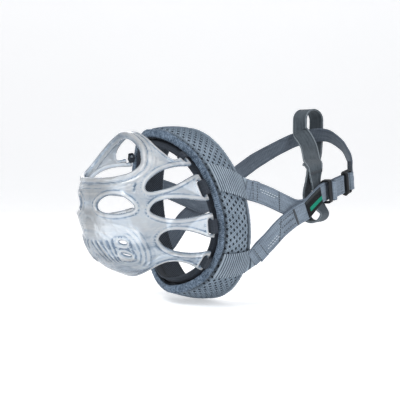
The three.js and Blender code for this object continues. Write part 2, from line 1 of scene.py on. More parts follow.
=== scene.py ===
"""Muzzle: a clear silicone basket on a padded mesh band, with Y straps, a neck strap, its
adjuster and joining ring, and a collar loop.

Lengths are millimetres in the frame the CAD had before SHIFT. The basket's nose end points
to -Y and the straps run back to +Y. +Z is up, and +X is the side named left.
"""
import math
import bmesh
import bpy
import numpy as np
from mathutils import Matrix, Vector
from mathutils.geometry import delaunay_2d_cdt
from mathutils.kdtree import KDTree


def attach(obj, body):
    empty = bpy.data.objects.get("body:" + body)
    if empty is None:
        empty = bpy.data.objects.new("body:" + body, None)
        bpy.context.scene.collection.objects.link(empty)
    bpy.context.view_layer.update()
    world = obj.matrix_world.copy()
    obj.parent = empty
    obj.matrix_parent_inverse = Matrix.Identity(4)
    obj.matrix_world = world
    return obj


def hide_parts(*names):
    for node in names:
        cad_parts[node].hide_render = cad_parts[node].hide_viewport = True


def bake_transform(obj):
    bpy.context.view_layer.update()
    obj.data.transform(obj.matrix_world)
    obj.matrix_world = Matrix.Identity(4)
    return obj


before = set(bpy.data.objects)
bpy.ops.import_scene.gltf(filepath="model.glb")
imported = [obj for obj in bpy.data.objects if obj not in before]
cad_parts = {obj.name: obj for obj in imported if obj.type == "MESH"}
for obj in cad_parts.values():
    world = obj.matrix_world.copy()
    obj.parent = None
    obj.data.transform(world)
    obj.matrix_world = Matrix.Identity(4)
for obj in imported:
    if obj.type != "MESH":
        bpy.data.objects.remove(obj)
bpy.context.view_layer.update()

# ---------------------------------------------------------------- dimensions
SHIFT = np.array([-0.4949665, -29.1506920, 75.7199402])
DEG = math.pi / 180
TURN = 2 * math.pi
SIDES = ((1, 'left'), (-1, 'right'))

# Basket: distance of its skin from the centre. Rows are 8 degrees apart from the -Y pole,
# columns 15 degrees apart in elevation, from -90 (below) to 90 (above).
SKIN = 3.0
CENTRE = np.array([0.0, -24.0, -9.0])
RADII = np.array([
    [73.0, 73.0, 72.9, 72.9, 72.8, 72.8, 72.9, 73.0, 73.0, 73.0, 73.0, 73.0, 73.0],
    [73.4, 73.4, 73.1, 72.7, 72.5, 72.6, 72.8, 72.8, 72.8, 72.6, 72.6, 72.5, 72.5],
    [72.6, 72.5, 71.9, 70.8, 70.4, 71.0, 71.9, 72.4, 72.7, 72.8, 73.0, 73.2, 73.4],
    [70.5, 70.2, 69.5, 68.3, 67.9, 68.9, 70.2, 71.2, 72.0, 72.7, 73.4, 74.1, 74.7],
    [66.9, 66.8, 66.5, 66.0, 66.0, 66.9, 67.9, 69.0, 70.3, 71.7, 73.0, 74.4, 75.6],
    [62.2, 62.2, 62.5, 62.8, 63.4, 64.0, 64.6, 65.8, 67.6, 69.4, 71.2, 73.3, 75.1],
    [57.3, 57.5, 58.2, 58.9, 59.6, 60.0, 60.6, 62.0, 63.9, 65.9, 68.0, 70.6, 72.9],
    [53.3, 53.5, 54.4, 55.2, 56.0, 56.3, 56.8, 58.2, 60.0, 61.9, 63.9, 66.8, 69.5],
    [50.7, 51.0, 51.9, 52.6, 53.1, 53.2, 53.6, 54.9, 56.4, 57.9, 59.7, 62.7, 65.6],
    [50.0, 50.3, 51.0, 51.1, 51.2, 51.0, 51.3, 52.3, 53.5, 54.6, 56.0, 58.9, 62.1],
    [50.8, 51.1, 51.4, 50.8, 50.3, 49.8, 49.8, 50.6, 51.6, 52.5, 53.5, 56.2, 59.4],
    [52.5, 52.9, 52.8, 51.3, 50.2, 49.5, 49.3, 49.9, 50.7, 51.5, 52.3, 54.9, 58.0],
    [54.7, 55.0, 54.6, 52.7, 51.2, 50.1, 49.7, 50.2, 51.0, 52.0, 52.6, 55.0, 58.1]])
RIM_GAP = 3.0

# Outlines of the openings on the flat map: degrees from the -Y pole, sideways and up.
# The first three are right halves, to be mirrored into one outline each.
NOSE = [[0, 50], [7, 49.5], [13, 47.5], [20, 43.5], [24.5, 38.5], [27, 34], [27.3, 30],
        [25.5, 26.5], [22, 24], [16, 22], [8, 21.2], [0, 21]]
TOP_NOTCH = [[0, 58], [7, 57.6], [14, 56], [21, 53.5], [26, 51.2], [31, 49], [36, 47.2],
             [40.5, 46], [43, 47.5], [43.8, 51], [42.5, 56], [40, 62], [37.8, 67], [37, 72],
             [37, 86], [0, 96]]
CHIN_NOTCH = [[0, -48], [10, -46.5], [20, -43.5], [28, -40.5], [35, -38], [40.5, -37.6],
              [45.5, -40], [50, -45], [53.5, -51], [55.5, -58], [56.5, -64], [58.5, -70],
              [62, -84], [0, -112]]
# Each of these is cut on both sides.
FRONT = [[6.5, 6.2], [8, 8.4], [11, 10.3], [14.5, 11.5], [19, 12.1], [23, 11.8], [26.5, 10.2],
         [29.5, 8], [31, 5.8], [29.5, 4], [26, 2.9], [22, 2.1], [17, 2], [11.5, 2.7], [8, 4]]
UPPER_SLOT = [
    [35, 18], [35, 21.5], [36.5, 25.5], [38.5, 29.5], [41, 33.5], [44, 37.5], [48, 42.5],
    [52, 46.5], [55.5, 50.3], [57, 52.5], [59, 56], [66, 63], [74, 51], [66.5, 44.7],
    [62.5, 42.5], [60, 38.5], [57, 33], [54, 28.3], [50, 23.5], [46, 20.3], [42, 18],
    [38.5, 16.3], [36, 16.5]]
MIDDLE_SLOT = [
    [39, 5], [40, 7.5], [42, 10], [45.5, 12], [50, 13.5], [57, 14.8], [65, 15.6], [73, 16.3],
    [80, 17.2], [85, 18.5], [97, 20.5], [97, 4.4], [85, 4.2], [80, 2.8], [74, 1], [66, -0.6],
    [58, -1.4], [51, -1], [45.5, 0.3], [41.5, 2], [39.5, 3.5]]
LOWER_SLOT = [
    [42.5, -15.5], [43.5, -13], [46, -11], [50, -10.2], [56, -10.8], [62, -12.8],
    [67, -15.5], [73, -19.5], [78, -24], [83, -27.5], [88, -30], [100, -34], [95, -54],
    [86, -49], [80, -45.5], [76, -44], [69, -42], [61, -38.3], [53, -32.2], [47.5, -26.5],
    [44, -21]]
CHIN_VENTS = [
    [[18.6, -14.2], [21, -13.8], [23.6, -15], [22.6, -16.4], [20, -16], [18.4, -15.4]],
    [[17.8, -21.4], [20.4, -21.6], [23.2, -23.6], [22.6, -25.2], [20, -24.4], [17.8, -22.8]]]

# Tabs on the rim, top to bottom: elevation in degrees, half length of the slot
TABS = [[52, 5.2], [23, 6.2], [-8, 6.0], [-40, 5.4]]
TAB_SLOT = 2.8
TAB_BAR = 2.2

# Band: oval front and rear edges, half width (x), half height (z) and middle height
FRONT_HALF_X, FRONT_HALF_Z, FRONT_Z = 54.2, 59.4, -7.8
REAR_HALF_X, REAR_HALF_Z, REAR_Z = 54.7, 64.3, -10.7
REAR_Y, REAR_TILT, REAR_SADDLE = 0.7, 0.15, 1.95
EGG = 0.02                     # how much both edges narrow toward the top
# Front edge: angle from the horizontal in degrees, y
FRONT_EDGE_Y = np.array([
    [-90, -30], [-70, -27], [-50, -22.6], [-30, -21], [-15, -21.6], [0, -24.4], [12, -27.4],
    [28, -31.3], [45, -35.8], [65, -42.3], [90, -47.8]], float)
BULGE = 2.7
BAND_WIDTH = 33.0
PAD_FRONT, PAD_REAR = 0.105, 0.915         # sewn seams of the pad, as shares of the band

# Air mesh holes: pitch along the band, row pitch, and half sizes
HOLE_PITCH, HOLE_ROW = 4.9, 2.7
HOLE_HALF_LONG, HOLE_HALF_SHORT = 1.05, 0.72

WEB_WIDTH, WEB_THICK = 15.0, 1.6


# ---------------------------------------------------------------- maths
def unit(vectors):
    vectors = np.asarray(vectors, float)
    return vectors / np.maximum(np.linalg.norm(vectors, axis=-1, keepdims=True), 1e-12)


def smoothstep(x, low, high):
    share = np.clip((np.asarray(x, float) - low) / (high - low), 0, 1)
    return share * share * (3 - 2 * share)


def bumps(x, *peaks):
    """Sum of bell curves, each given as (height, centre, width)."""
    return sum(height * np.exp(-((x - centre) / width) ** 2) for height, centre, width in peaks)


def ripple(x, y, seed, z=0.0):
    """Smooth noise made of sines, about -1 to 1."""
    draw = np.random.default_rng(100 + seed)
    total, strength, scale = 0, 1, 0
    for octave in range(4):
        for _ in range(3):
            slope_x, slope_y, slope_z = draw.normal(size=3).tolist()
            phase = draw.uniform(0, 6.28)
            wave = slope_x * x + slope_y * y + slope_z * z
            total = total + strength * np.sin(2 ** octave * wave + phase)
        scale += strength * 1.6
        strength *= 0.55
    return total / scale


def cubic(before, start, end, after, t):
    """Uniform Catmull-Rom between start and end."""
    bend = 2 * before - 5 * start + 4 * end - after + t * (3 * (start - end) + after - before)
    return start + 0.5 * t * (end - before + t * bend)


def lengths_along(points):
    return np.r_[0, np.cumsum(np.linalg.norm(np.diff(points, axis=0), axis=1))]


def closed(rows):
    return np.vstack([rows, rows[:1]])


def rows_at(x, known, table):
    """Each column of a table interpolated at x."""
    return np.stack([np.interp(x, known, column) for column in table.T], -1)


def relax(loop, times):
    for _ in range(times):
        loop = 0.5 * loop + 0.25 * (np.roll(loop, 1, 0) + np.roll(loop, -1, 0))
    return loop


def kd_tree(points):
    tree = KDTree(len(points))
    for i, point in enumerate(points.tolist()):
        tree.insert(point, i)
    tree.balance()
    return tree


def distances(tree, points):
    return np.array([tree.find(point)[2] for point in points.tolist()])


class Curve:
    """Centripetal Catmull-Rom through points; s runs from 0 to 1."""

    def __init__(self, points):
        self.points = np.array(points, float)

    def at(self, s):
        points = self.points
        last = len(points) - 1
        place = np.clip(np.atleast_1d(np.asarray(s, float)), 0, 1) * last
        i = np.minimum(np.floor(place).astype(int), last - 1)
        w = (place - i)[:, None]
        ends = 2 * points[0] - points[1], 2 * points[-1] - points[-2]
        padded = np.vstack([ends[0], points, ends[1]])
        p0, p1, p2, p3 = (padded[i + k] for k in range(4))

        def knot(a, b):
            return np.maximum(((a - b) ** 2).sum(1), 1e-12)[:, None] ** 0.25

        d0, d1, d2 = knot(p0, p1), knot(p1, p2), knot(p2, p3)
        slope1 = ((p1 - p0) / d0 - (p2 - p0) / (d0 + d1) + (p2 - p1) / d1) * d1
        slope2 = ((p2 - p1) / d1 - (p3 - p1) / (d1 + d2) + (p3 - p2) / d2) * d1
        square = -3 * p1 + 3 * p2 - 2 * slope1 - slope2
        return p1 + slope1 * w + square * w ** 2 + (2 * p1 - 2 * p2 + slope1 + slope2) * w ** 3

    def tangent(self, s):
        return unit(self.at(np.clip(s + 1e-3, 0, 1)) - self.at(np.clip(s - 1e-3, 0, 1)))


class Strap(Curve):
    """A centreline whose outer face looks toward `facing`: a vector, or f(points, s)."""

    def __init__(self, points, facing):
        super().__init__(points)
        self.facing = facing

    def frame(self, s, lift=0.0):
        """Centres, side directions and face directions."""
        s = np.atleast_1d(s)
        centre = self.at(s)
        tangent = self.tangent(s)
        wanted = self.facing(centre, s) if callable(self.facing) else np.array(self.facing)
        face = unit(wanted - tangent * (wanted * tangent).sum(1, keepdims=True))
        return centre + face * lift, np.cross(face, tangent), face

    def frame_at(self, s):
        return tuple(rows[0] for rows in self.frame(s))

    def s_at_y(self, y):
        s = np.linspace(0, 1, 2000)
        return s[np.argmin(np.abs(self.at(s)[:, 1] - y))]


# ---------------------------------------------------------------- basket and band surfaces
def basket_radius(polar, bearing):
    elevation = np.arcsin(np.clip(np.sin(bearing), -1, 1)) / DEG
    row = np.clip(polar / DEG / 8, 0, len(RADII) - 1.001)
    column = np.clip((elevation + 90) / 15, 0, 11.999)
    row0 = np.floor(row).astype(int)
    column0 = np.floor(column).astype(int)
    across = []
    for k in range(-1, 3):
        radii = RADII[np.clip(row0 + k, 0, len(RADII) - 1)[..., None],
                      np.stack([12 - np.abs(12 - np.abs(column0 + m)) for m in range(-1, 3)], -1)]
        across.append(cubic(*np.moveaxis(radii, -1, 0), column - column0))
    return cubic(*across, row - row0)


def basket_point(polar, bearing):
    heading = np.stack([np.sin(polar) * np.cos(bearing), -np.cos(polar),
                        np.sin(polar) * np.sin(bearing)], -1)
    return CENTRE + heading * basket_radius(polar, bearing)[..., None]


def from_flat(flat):
    return basket_point(np.hypot(flat[:, 0], flat[:, 1]) * DEG, np.arctan2(flat[:, 1], flat[:, 0]))


def to_flat(points):
    heading = unit(points - CENTRE)
    polar = np.arccos(np.clip(-heading[..., 1], -1, 1)) / DEG
    bearing = np.arctan2(heading[..., 2], heading[..., 0])
    return np.stack([polar * np.cos(bearing), polar * np.sin(bearing)], -1)


def front_edge_y(angle):
    """Cubic Hermite through FRONT_EDGE_Y, level at both ends."""
    stations, values = FRONT_EDGE_Y.T
    x = np.arcsin(np.clip(np.sin(angle), -1, 1)) / DEG
    last = len(stations) - 1
    k = np.clip(np.searchsorted(stations, x, side='left'), 1, last)
    slopes = np.zeros(last + 1)
    slopes[1:last] = (values[2:] - values[:-2]) / (stations[2:] - stations[:-2])
    step = stations[k] - stations[k - 1]
    t = (x - stations[k - 1]) / step
    t2 = t * t
    t3 = t2 * t
    return ((2 * t3 - 3 * t2 + 1) * values[k - 1] + (t3 - 2 * t2 + t) * slopes[k - 1] * step
            + (3 * t2 - 2 * t3) * values[k] + (t3 - t2) * slopes[k] * step)


def front_edge(angle):
    cos, sin = np.cos(angle), np.sin(angle)
    return np.stack([FRONT_HALF_X * cos * (1 - EGG * sin), front_edge_y(angle),
                     FRONT_Z + FRONT_HALF_Z * sin], -1)


def rear_edge(angle):
    cos, sin = np.cos(angle), np.sin(angle)
    y = REAR_Y - REAR_HALF_Z * sin * REAR_TILT + REAR_SADDLE * np.cos(2 * angle)
    return np.stack([REAR_HALF_X * cos * (1 - EGG * sin), y, REAR_Z + REAR_HALF_Z * sin], -1)


def rim_angle(bearing):
    """Polar angle where the basket ends, RIM_GAP in front of the band."""
    polar = np.full(bearing.shape, 85 * DEG)
    for _ in range(8):
        radius = basket_radius(polar, bearing)
        x = radius * np.sin(polar) * np.cos(bearing)
        z = CENTRE[2] + radius * np.sin(polar) * np.sin(bearing)
        angle = np.arctan2((z - FRONT_Z) / FRONT_HALF_Z, x / FRONT_HALF_X)
        gap = CENTRE[1] - (front_edge_y(angle) - RIM_GAP)
        polar = np.arccos(np.clip(gap / radius, -1, 1))
    return polar


def band_point(angle, share, depth):
    """Point on the band: share 0 is its front edge and 1 its rear; depth runs inward."""
    angle, share, depth = np.broadcast_arrays(*(np.asarray(a, float)
                                                for a in (angle, share, depth)))
    front = front_edge(angle)
    outward = unit(np.stack([np.cos(angle) / 53, 0 * angle, np.sin(angle) / 62], -1))
    swell = BULGE * np.maximum(0, np.sin(np.pi * np.clip(share, 0, 1))) ** 0.6
    return (front + (rear_edge(angle) - front) * share[..., None]
            + outward * (swell - depth)[..., None])


# ---------------------------------------------------------------- meshes
def configure(item, **values):
    for key, value in values.items():
        setattr(item, key, value)
    return item


def link_mesh(name, metres, faces):
    mesh = bpy.data.meshes.new(name)
    mesh.from_pydata(metres, [], faces)
    mesh.validate()
    mesh.polygons.foreach_set("use_smooth", [True] * len(mesh.polygons))
    mesh.update()
    item = bpy.data.objects.new(name, mesh)
    bpy.context.scene.collection.objects.link(item)
    return item


def make_mesh(name, points, faces):
    return link_mesh(name, ((np.asarray(points, float) + SHIFT) / 1000).tolist(), faces)


def grid_faces(rows, columns, close_rows=False, close_columns=False):
    """Quads of a grid whose vertex index is row * columns + column."""
    i, j = np.meshgrid(np.arange(rows if close_rows else rows - 1),
                       np.arange(columns if close_columns else columns - 1), indexing='ij')
    i2 = (i + 1) % rows
    j2 = (j + 1) % columns
    corners = [i * columns + j, i2 * columns + j, i2 * columns + j2, i * columns + j2]
    return np.stack(corners, -1).reshape(-1, 4)


def add_uv(mesh, uv, columns=0, wrap=None):
    """UV per vertex; faces that close a sweep carry U on past its end by `wrap`."""
    index = np.zeros(len(mesh.loops), int)
    mesh.loops.foreach_get("vertex_index", index)
    corners = uv.reshape(-1, 2)[index]
    if wrap is not None:
        row = (index // columns).reshape(-1, 4)
        closing = (row.max(1) == row.max()) & (row.min(1) == 0)
        corners[(closing[:, None] & (row == 0)).ravel(), 0] += wrap
    layer = mesh.uv_layers.new(name="UVMap")
    layer.data.foreach_set("uv", corners.astype(np.float32).ravel())


def add_attribute(item, name, values):
    attribute = item.data.attributes.new(name, "FLOAT", "POINT")
    attribute.data.foreach_set("value", values.astype(np.float32).ravel())


def fix_normals(item):
    work = bmesh.new()
    work.from_mesh(item.data)
    bmesh.ops.recalc_face_normals(work, faces=work.faces)
    work.to_mesh(item.data)
    work.free()
    item.data.update()


def tube_mesh(name, points, uv, wrap=None):
    """Closed sections swept along the rows: capped, or joined end to end when wrap is given."""
    rows, columns, _ = points.shape
    joined = wrap is not None
    faces = grid_faces(rows, columns, close_rows=joined, close_columns=True).tolist()
    if not joined:
        faces.append(list(range(columns)))
        faces.append([(rows - 1) * columns + k for k in range(columns)][::-1])
    item = make_mesh(name, points.reshape(-1, 3), faces)
    add_uv(item.data, uv, columns, wrap)
    fix_normals(item)
    return item


def web_section(width, thick, across, end=None):
    """Closed outline (across, through) of flat webbing, with rounded ends and a faint selvedge."""
    end = thick / 2 if end is None else end
    flat = width / 2 - end
    xs = np.linspace(-1, 1, across + 1) * flat
    height = thick / 2 - 0.04 * thick + bumps(np.abs(xs), (0.10 * thick, flat, 0.05 * width))
    angle = np.linspace(np.pi / 2, -np.pi / 2, 7)[1:-1]
    right = np.stack([flat + end * np.cos(angle), thick / 2 * np.sin(angle)], 1)
    return np.vstack([np.stack([xs, height], 1), right,
                      np.stack([xs[::-1], -height[::-1]], 1), right[::-1] * [-1, 1]])


def weave_relief(along, across, through, thick, rib, yarn, height):
    """Section thickness with cross ribs and yarn columns raised on both faces."""
    face = np.sign(through) * smoothstep(np.abs(through), 0.25 * thick, 0.45 * thick)
    phase = np.where(np.floor(across / yarn + 100) % 2 == 0, 0, np.pi)
    columns = np.cos(TURN * along / rib + phase) * np.abs(np.sin(np.pi * across / yarn))
    return through + face * height * (0.6 * np.cos(TURN * along / rib) + 0.4 * columns)


def sweep(centre, side, face, across, through):
    return (centre[:, None] + side[:, None] * across[..., None]
            + face[:, None] * through[..., None])


def webbing(name, strap, start=0.0, end=1.0, lift=0.0, width=WEB_WIDTH, thick=WEB_THICK,
            step=0.5, rib=1.5, rib_height=0.07, yarn=1.15, columns=18, wave=0.12, seed=0,
            taper=None, fade=1.5):
    """A woven ribbon along a strap; taper scales its width by the share of its length."""
    s = np.linspace(start, end, 400)
    length = lengths_along(strap.frame(s, lift)[0])
    count = max(4, int(round(length[-1] / step)))
    x = np.linspace(0, length[-1], count + 1)
    frame = strap.frame(np.interp(x, length, s), lift)
    section = web_section(width, thick, columns)
    flat = np.repeat(section[None, :, 0], len(x), 0)
    along = np.repeat(x[:, None], len(section), 1)
    through = weave_relief(along, flat, section[None, :, 1], thick, rib, yarn, rib_height)
    scale = taper(x / x[-1]) if taper else np.ones(len(x))
    edge_wander = 0.10 * ripple(along * 0.35, 0 * flat, seed + 3)
    across = (flat * scale[:, None]
              + edge_wander * smoothstep(np.abs(flat), 0.3 * width, 0.5 * width))
    to_end = np.minimum(x, x[-1] - x)[:, None]
    waves = wave * ripple(along * 0.09, across * 0.12, seed)
    through = (through * (0.8 + 0.2 * smoothstep(to_end, 0, 0.6))
               + waves * smoothstep(to_end, 0, fade + 4))
    return tube_mesh(name, sweep(*frame, across, through), np.stack([along, flat], -1))


def stitches(name, threads, radius):
    """Each thread (start, end, up) becomes a small capsule arched out of the cloth."""
    sides, rows = 6, 4
    angle = np.arange(sides)[:, None] / sides * TURN
    points, faces = [], []
    for n, (start, end, up) in enumerate(threads):
        tangent = unit(end - start)
        side = unit(np.cross(tangent, up))
        lift = np.cross(side, tangent)
        for k in range(rows + 1):
            share = k / rows
            size = radius * math.sqrt(max(0.05, 1 - (2 * share - 1) ** 4))
            arch = radius * 1.1 * math.sin(math.pi * share) - 0.35 * radius
            centre = start + (end - start) * share + lift * arch
            points.append(centre + size * (np.cos(angle) * side + np.sin(angle) * lift))
        base = n * (rows + 1) * sides
        for row in range(base, base + rows * sides, sides):
            for i in range(sides):
                j = (i + 1) % sides
                faces.append((row + i, row + j, row + sides + j, row + sides + i))
        faces.append(tuple(base + i for i in range(sides))[::-1])
        faces.append(tuple(base + rows * sides + i for i in range(sides)))
    item = make_mesh(name, np.vstack(points), faces)
    fix_normals(item)
    return item


def stitch_row(points, ups, length, gap, lift=0.12):
    """Threads one after another along a line of surface points."""
    known = lengths_along(points)
    threads = []
    x = 0.0
    while x + length < known[-1]:
        up = unit(rows_at(x + length / 2, known, ups))
        threads.append((rows_at(x, known, points) + up * lift,
                        rows_at(x + length, known, points) + up * lift, up))
        x += length + gap
    return threads


def rounded_rect(half_x, half_y, radius, count=7):
    corners = ((half_x - radius, half_y - radius, 0), (-half_x + radius, half_y - radius, 90),
               (-half_x + radius, -half_y + radius, 180), (half_x - radius, -half_y + radius, 270))
    return np.array([(x + radius * math.cos(a * DEG), y + radius * math.sin(a * DEG))
                     for x, y, first in corners for a in np.linspace(first, first + 90, count)])


def turn_points(origin, side, run, out, across, through, half_run, half_out, power):
    """A flat section carried once round a bar, on a squared oval in the run-out plane."""
    angle = np.arange(len(through)) / len(through) * TURN
    cos, sin = np.cos(angle), np.sin(angle)
    square = (np.abs(cos) ** power + np.abs(sin) ** power) ** (-1 / power)
    return (origin + side * across[None, :, None]
            + run * ((cos * square)[:, None] * (half_run + through))[..., None]
            + out * ((sin * square)[:, None] * (half_out + through))[..., None])


# ---------------------------------------------------------------- shader building
class Signal:
    """A shader output. Arithmetic on it adds Math nodes."""

    def __init__(self, shader, socket):
        self.shader = shader
        self.socket = socket

    def op(self, operation, *others):
        return self.shader.node('Math', self, *others, operation=operation)

    def __add__(self, other):
        return self.op('ADD', other)

    def __sub__(self, other):
        return self.op('SUBTRACT', other)

    def __mul__(self, other):
        return self.op('MULTIPLY', other)

    def __truediv__(self, other):
        return self.op('DIVIDE', other)

    def times_plus(self, factor, extra):
        return self.op('MULTIPLY_ADD', factor, extra)

    def vary(self, noise, by, about=0.5):
        """Add a noise that swings about its middle value."""
        return self + (noise - about) * by

    def clamped(self):
        self.socket.node.use_clamp = True
        return self

    def size(self):
        return self.op('ABSOLUTE')

    def wave(self, period, phase=0.0):
        """Sine of this value, 0 to 1."""
        return self.times_plus(TURN / period, phase).op('SINE').times_plus(0.5, 0.5)

    def fade(self, zero_at, one_at):
        return self.shader.node('MapRange', self, zero_at, one_at,
                                interpolation_type='SMOOTHSTEP')


class Shader:
    """A material under construction."""

    def __init__(self, name):
        self.material = bpy.data.materials.new(name)
        self.material.use_nodes = True
        self.tree = self.material.node_tree
        self.tree.nodes.clear()
        self.output = self.tree.nodes.new('ShaderNodeOutputMaterial')

    def node(self, kind, *values, inputs=None, out=0, **settings):
        """Add a node; values fill its first inputs, `inputs` maps the others."""
        node = configure(self.tree.nodes.new('ShaderNode' + kind), **settings)
        for key, value in [*enumerate(values), *(inputs or {}).items()]:
            socket = node.inputs[key]
            if isinstance(value, Signal):
                self.tree.links.new(value.socket, socket)
            else:
                socket.default_value = (*value, 1)[:4] if isinstance(value, tuple) else value
        return Signal(self, node.outputs[out])

    def uv(self):
        """UV in millimetres: along the piece and across it."""
        both = self.node('SeparateXYZ', self.node('UVMap'))
        return both, Signal(self, both.socket.node.outputs[1])

    def noise(self, scale, detail=4, roughness=0.55, distortion=0.0, vector=None):
        vector = vector or self.node('TexCoord', out='Object')
        return self.node('TexNoise', out='Fac', inputs={
            'Vector': vector, 'Scale': scale, 'Detail': detail, 'Roughness': roughness,
            'Distortion': distortion})

    def attribute(self, name):
        return self.node('Attribute', out='Fac', attribute_type='GEOMETRY', attribute_name=name)

    def mix(self, factor, first, second):
        return self.node('Mix', factor, inputs={6: first, 7: second}, out=2, data_type='RGBA')

    def ramp(self, factor, stops):
        colours = self.node('ValToRGB', factor)
        elements = colours.socket.node.color_ramp.elements
        while len(elements) < len(stops):
            elements.new(0.5)
        for element, (position, colour) in zip(elements, stops):
            element.position = position
            element.color = (*colour, 1)
        return colours

    def bump(self, height, strength, distance):
        return self.node('Bump', inputs={
            'Height': height, 'Strength': strength, 'Distance': distance})

    def principled(self, **inputs):
        return self.node('BsdfPrincipled', inputs={
            key.replace('_', ' '): value for key, value in inputs.items()})

    def finish(self, surface):
        self.tree.links.new(surface.socket, self.output.inputs[0])
        return self.material


# ---------------------------------------------------------------- materials
# In each cloth, tone runs from the dark colour to the lit one. The factors beside the
# patterns are their weights in the tone or in the bump height.
def ribbed_web(name, lit, dark, rib=1.5, yarn=1.15, pale_edge_colour=None, sheen=0.06,
               selvedge=0.9, pale_line=0.0):
    """Cross-ribbed webbing with a selvedge, lint and uneven dye."""
    shader = Shader(name)
    along, across = shader.uv()
    half = WEB_WIDTH / 2
    pale_edge_colour = pale_edge_colour or tuple(min(1, channel * 1.35) for channel in lit)
    ribs = along.wave(rib, phase=math.pi / 2)
    columns = (across * (math.pi / yarn)).op('SINE').size()
    yarn_phase = (across / yarn).op('FLOOR') * math.pi
    checker = (along * (TURN / rib) + yarn_phase).op('SINE')
    height = ribs * 0.42 + checker.times_plus(0.28, 0.5) * columns * 0.58
    stretched = shader.node('CombineXYZ', along * 0.055, across * 0.62)
    streaks = shader.noise(1.0, detail=4, roughness=0.6, vector=stretched)
    fibre = shader.noise(3200, detail=3, roughness=0.6)
    patches = shader.noise(90, detail=3)
    lint = shader.noise(520, detail=4)
    tone = (height * 0.48 + fibre * 0.44).vary(streaks, by=0.95, about=0.48)
    tone = tone.vary(patches, by=0.35).vary(lint, by=0.25).clamped()
    colour = shader.mix(tone, dark, lit)

    def edge_line(inset, zero_at, one_at):
        return (across.size() - (half - inset)).size().fade(zero_at, one_at)

    # paler patches along both edges
    pale_edge_patches = across.size().fade(half - 1.4, half - 0.2) * lint.fade(0.42, 0.62)
    colour = shader.mix(pale_edge_patches * 0.35, colour, pale_edge_colour)
    border = across.size().fade(half - 0.95, half - 0.45)
    colour = shader.mix(border * selvedge, colour, dark)
    colour = shader.mix(edge_line(1.75, 0.55, 0.15) * 0.42, colour, dark)
    if pale_line:
        colour = shader.mix(edge_line(0.95, 0.55, 0.2) * pale_line, colour, pale_edge_colour)
    relief = height * 0.75 + fibre * 0.35
    return shader.finish(shader.principled(
        Base_Color=colour, Roughness=fibre.times_plus(0.15, 0.77),
        Normal=shader.bump(relief, strength=0.7, distance=0.00035),
        Sheen_Weight=sheen, Sheen_Roughness=0.5, Specular_IOR_Level=0.25))


def air_mesh(name, lit, dark, hole, seam_shadow):
    """Knitted mesh with staggered rows of oval holes that stop short of the seams."""
    shader = Shader(name)
    along, across = shader.uv()
    row = across / HOLE_ROW
    stagger = (row.op('FLOOR') + 1000).op('MODULO', 2) * 0.5
    hole_x = (along / HOLE_PITCH + stagger).op('FRACT') - 0.5
    hole_y = row.op('FRACT') - 0.5
    distance = ((hole_x * (HOLE_PITCH / HOLE_HALF_LONG)).op('POWER', 2)
                + (hole_y * (HOLE_ROW / HOLE_HALF_SHORT)).op('POWER', 2)).op('SQRT')
    distance = distance.vary(shader.noise(700, detail=2), by=0.5)
    seam = shader.attribute('seam')
    holes = distance.fade(1.22, 0.80) * seam.fade(0.5, 1.2)
    knit = (along + across * 0.5).wave(0.62) * (across - along * 0.25).wave(0.7)
    fibre = shader.noise(3600, detail=3, roughness=0.6)
    patches = shader.noise(60, detail=3)
    lint = shader.noise(350, detail=3)
    tone = (knit * 0.45 + fibre * 0.4).vary(patches, by=0.5).vary(lint, by=0.3).clamped()
    hatch = (across.times_plus(0.7, along).wave(1.75)
             * across.times_plus(-0.9, along).wave(1.95))
    tone = tone.vary(hatch, by=0.42, about=0.25).clamped()
    # painted shade: the mesh tone drops where its surface turns away from the camera
    facing = shader.node('LayerWeight', out='Facing', inputs={'Blend': 0.5})
    tone = (tone - facing.fade(0.30, 0.85) * 0.34).clamped()
    cloth = shader.mix(tone, dark, lit)
    cloth = shader.mix(seam.fade(2.6, 0.2) * 0.72, cloth, seam_shadow)
    relief = knit * 0.35 + fibre * 0.25 - holes * 1.0
    return shader.finish(shader.principled(
        Base_Color=shader.mix(holes * 0.97, cloth, hole), Roughness=0.9,
        Normal=shader.bump(relief, strength=0.7, distance=0.0004),
        Sheen_Weight=0.06, Sheen_Roughness=0.55, Specular_IOR_Level=0.2))


def knit_cloth(name, lit, dark, pitch, knit_weight=0.6, crease_shade_weight=0.3):
    shader = Shader(name)
    along, across = shader.uv()
    knit = (along + across).wave(pitch) * (along - across).wave(pitch)
    fibre = shader.noise(3000, detail=3, roughness=0.6)
    patches = shader.noise(80, detail=3)
    # painted light and shade of small creases, as lighter and darker patches in the tone
    crease_shading = shader.noise(600, detail=3)
    tone = (knit * knit_weight + fibre * 0.35).vary(patches, by=0.4)
    tone = tone.vary(crease_shading, by=crease_shade_weight).clamped()
    return shader.finish(shader.principled(
        Base_Color=shader.mix(tone, dark, lit), Roughness=0.9,
        Normal=shader.bump(knit + fibre * 0.4, strength=0.6, distance=0.0003),
        Sheen_Weight=0.05, Sheen_Roughness=0.5, Specular_IOR_Level=0.2))


def elastic_ribs(name, lit, dark, rib=2.05):
    """Bold ribs across the strap, with painted shade in the valleys and painted light on the
    crests, and fuzzy yarn.
    """
    shader = Shader(name)
    along, across = shader.uv()
    fibre = shader.noise(3200, detail=3, roughness=0.6)
    wander = shader.noise(520, detail=4)
    patches = shader.noise(90, detail=3)
    ribs = along.vary(wander, by=0.55).wave(rib, phase=math.pi / 2)
    # painted light and shade: light on the rib crests, dark in the valleys
    tone = ribs.fade(0.10, 0.80) * 0.72 + across.wave(0.85) * 0.10
    tone = tone.vary(fibre, by=0.5).vary(patches, by=0.4).clamped()
    return shader.finish(shader.principled(
        Base_Color=shader.mix(tone, dark, lit), Roughness=0.88,
        Normal=shader.bump(ribs * 1.0 + fibre * 0.3, strength=0.8, distance=0.0004),
        Sheen_Weight=0.05, Specular_IOR_Level=0.2))


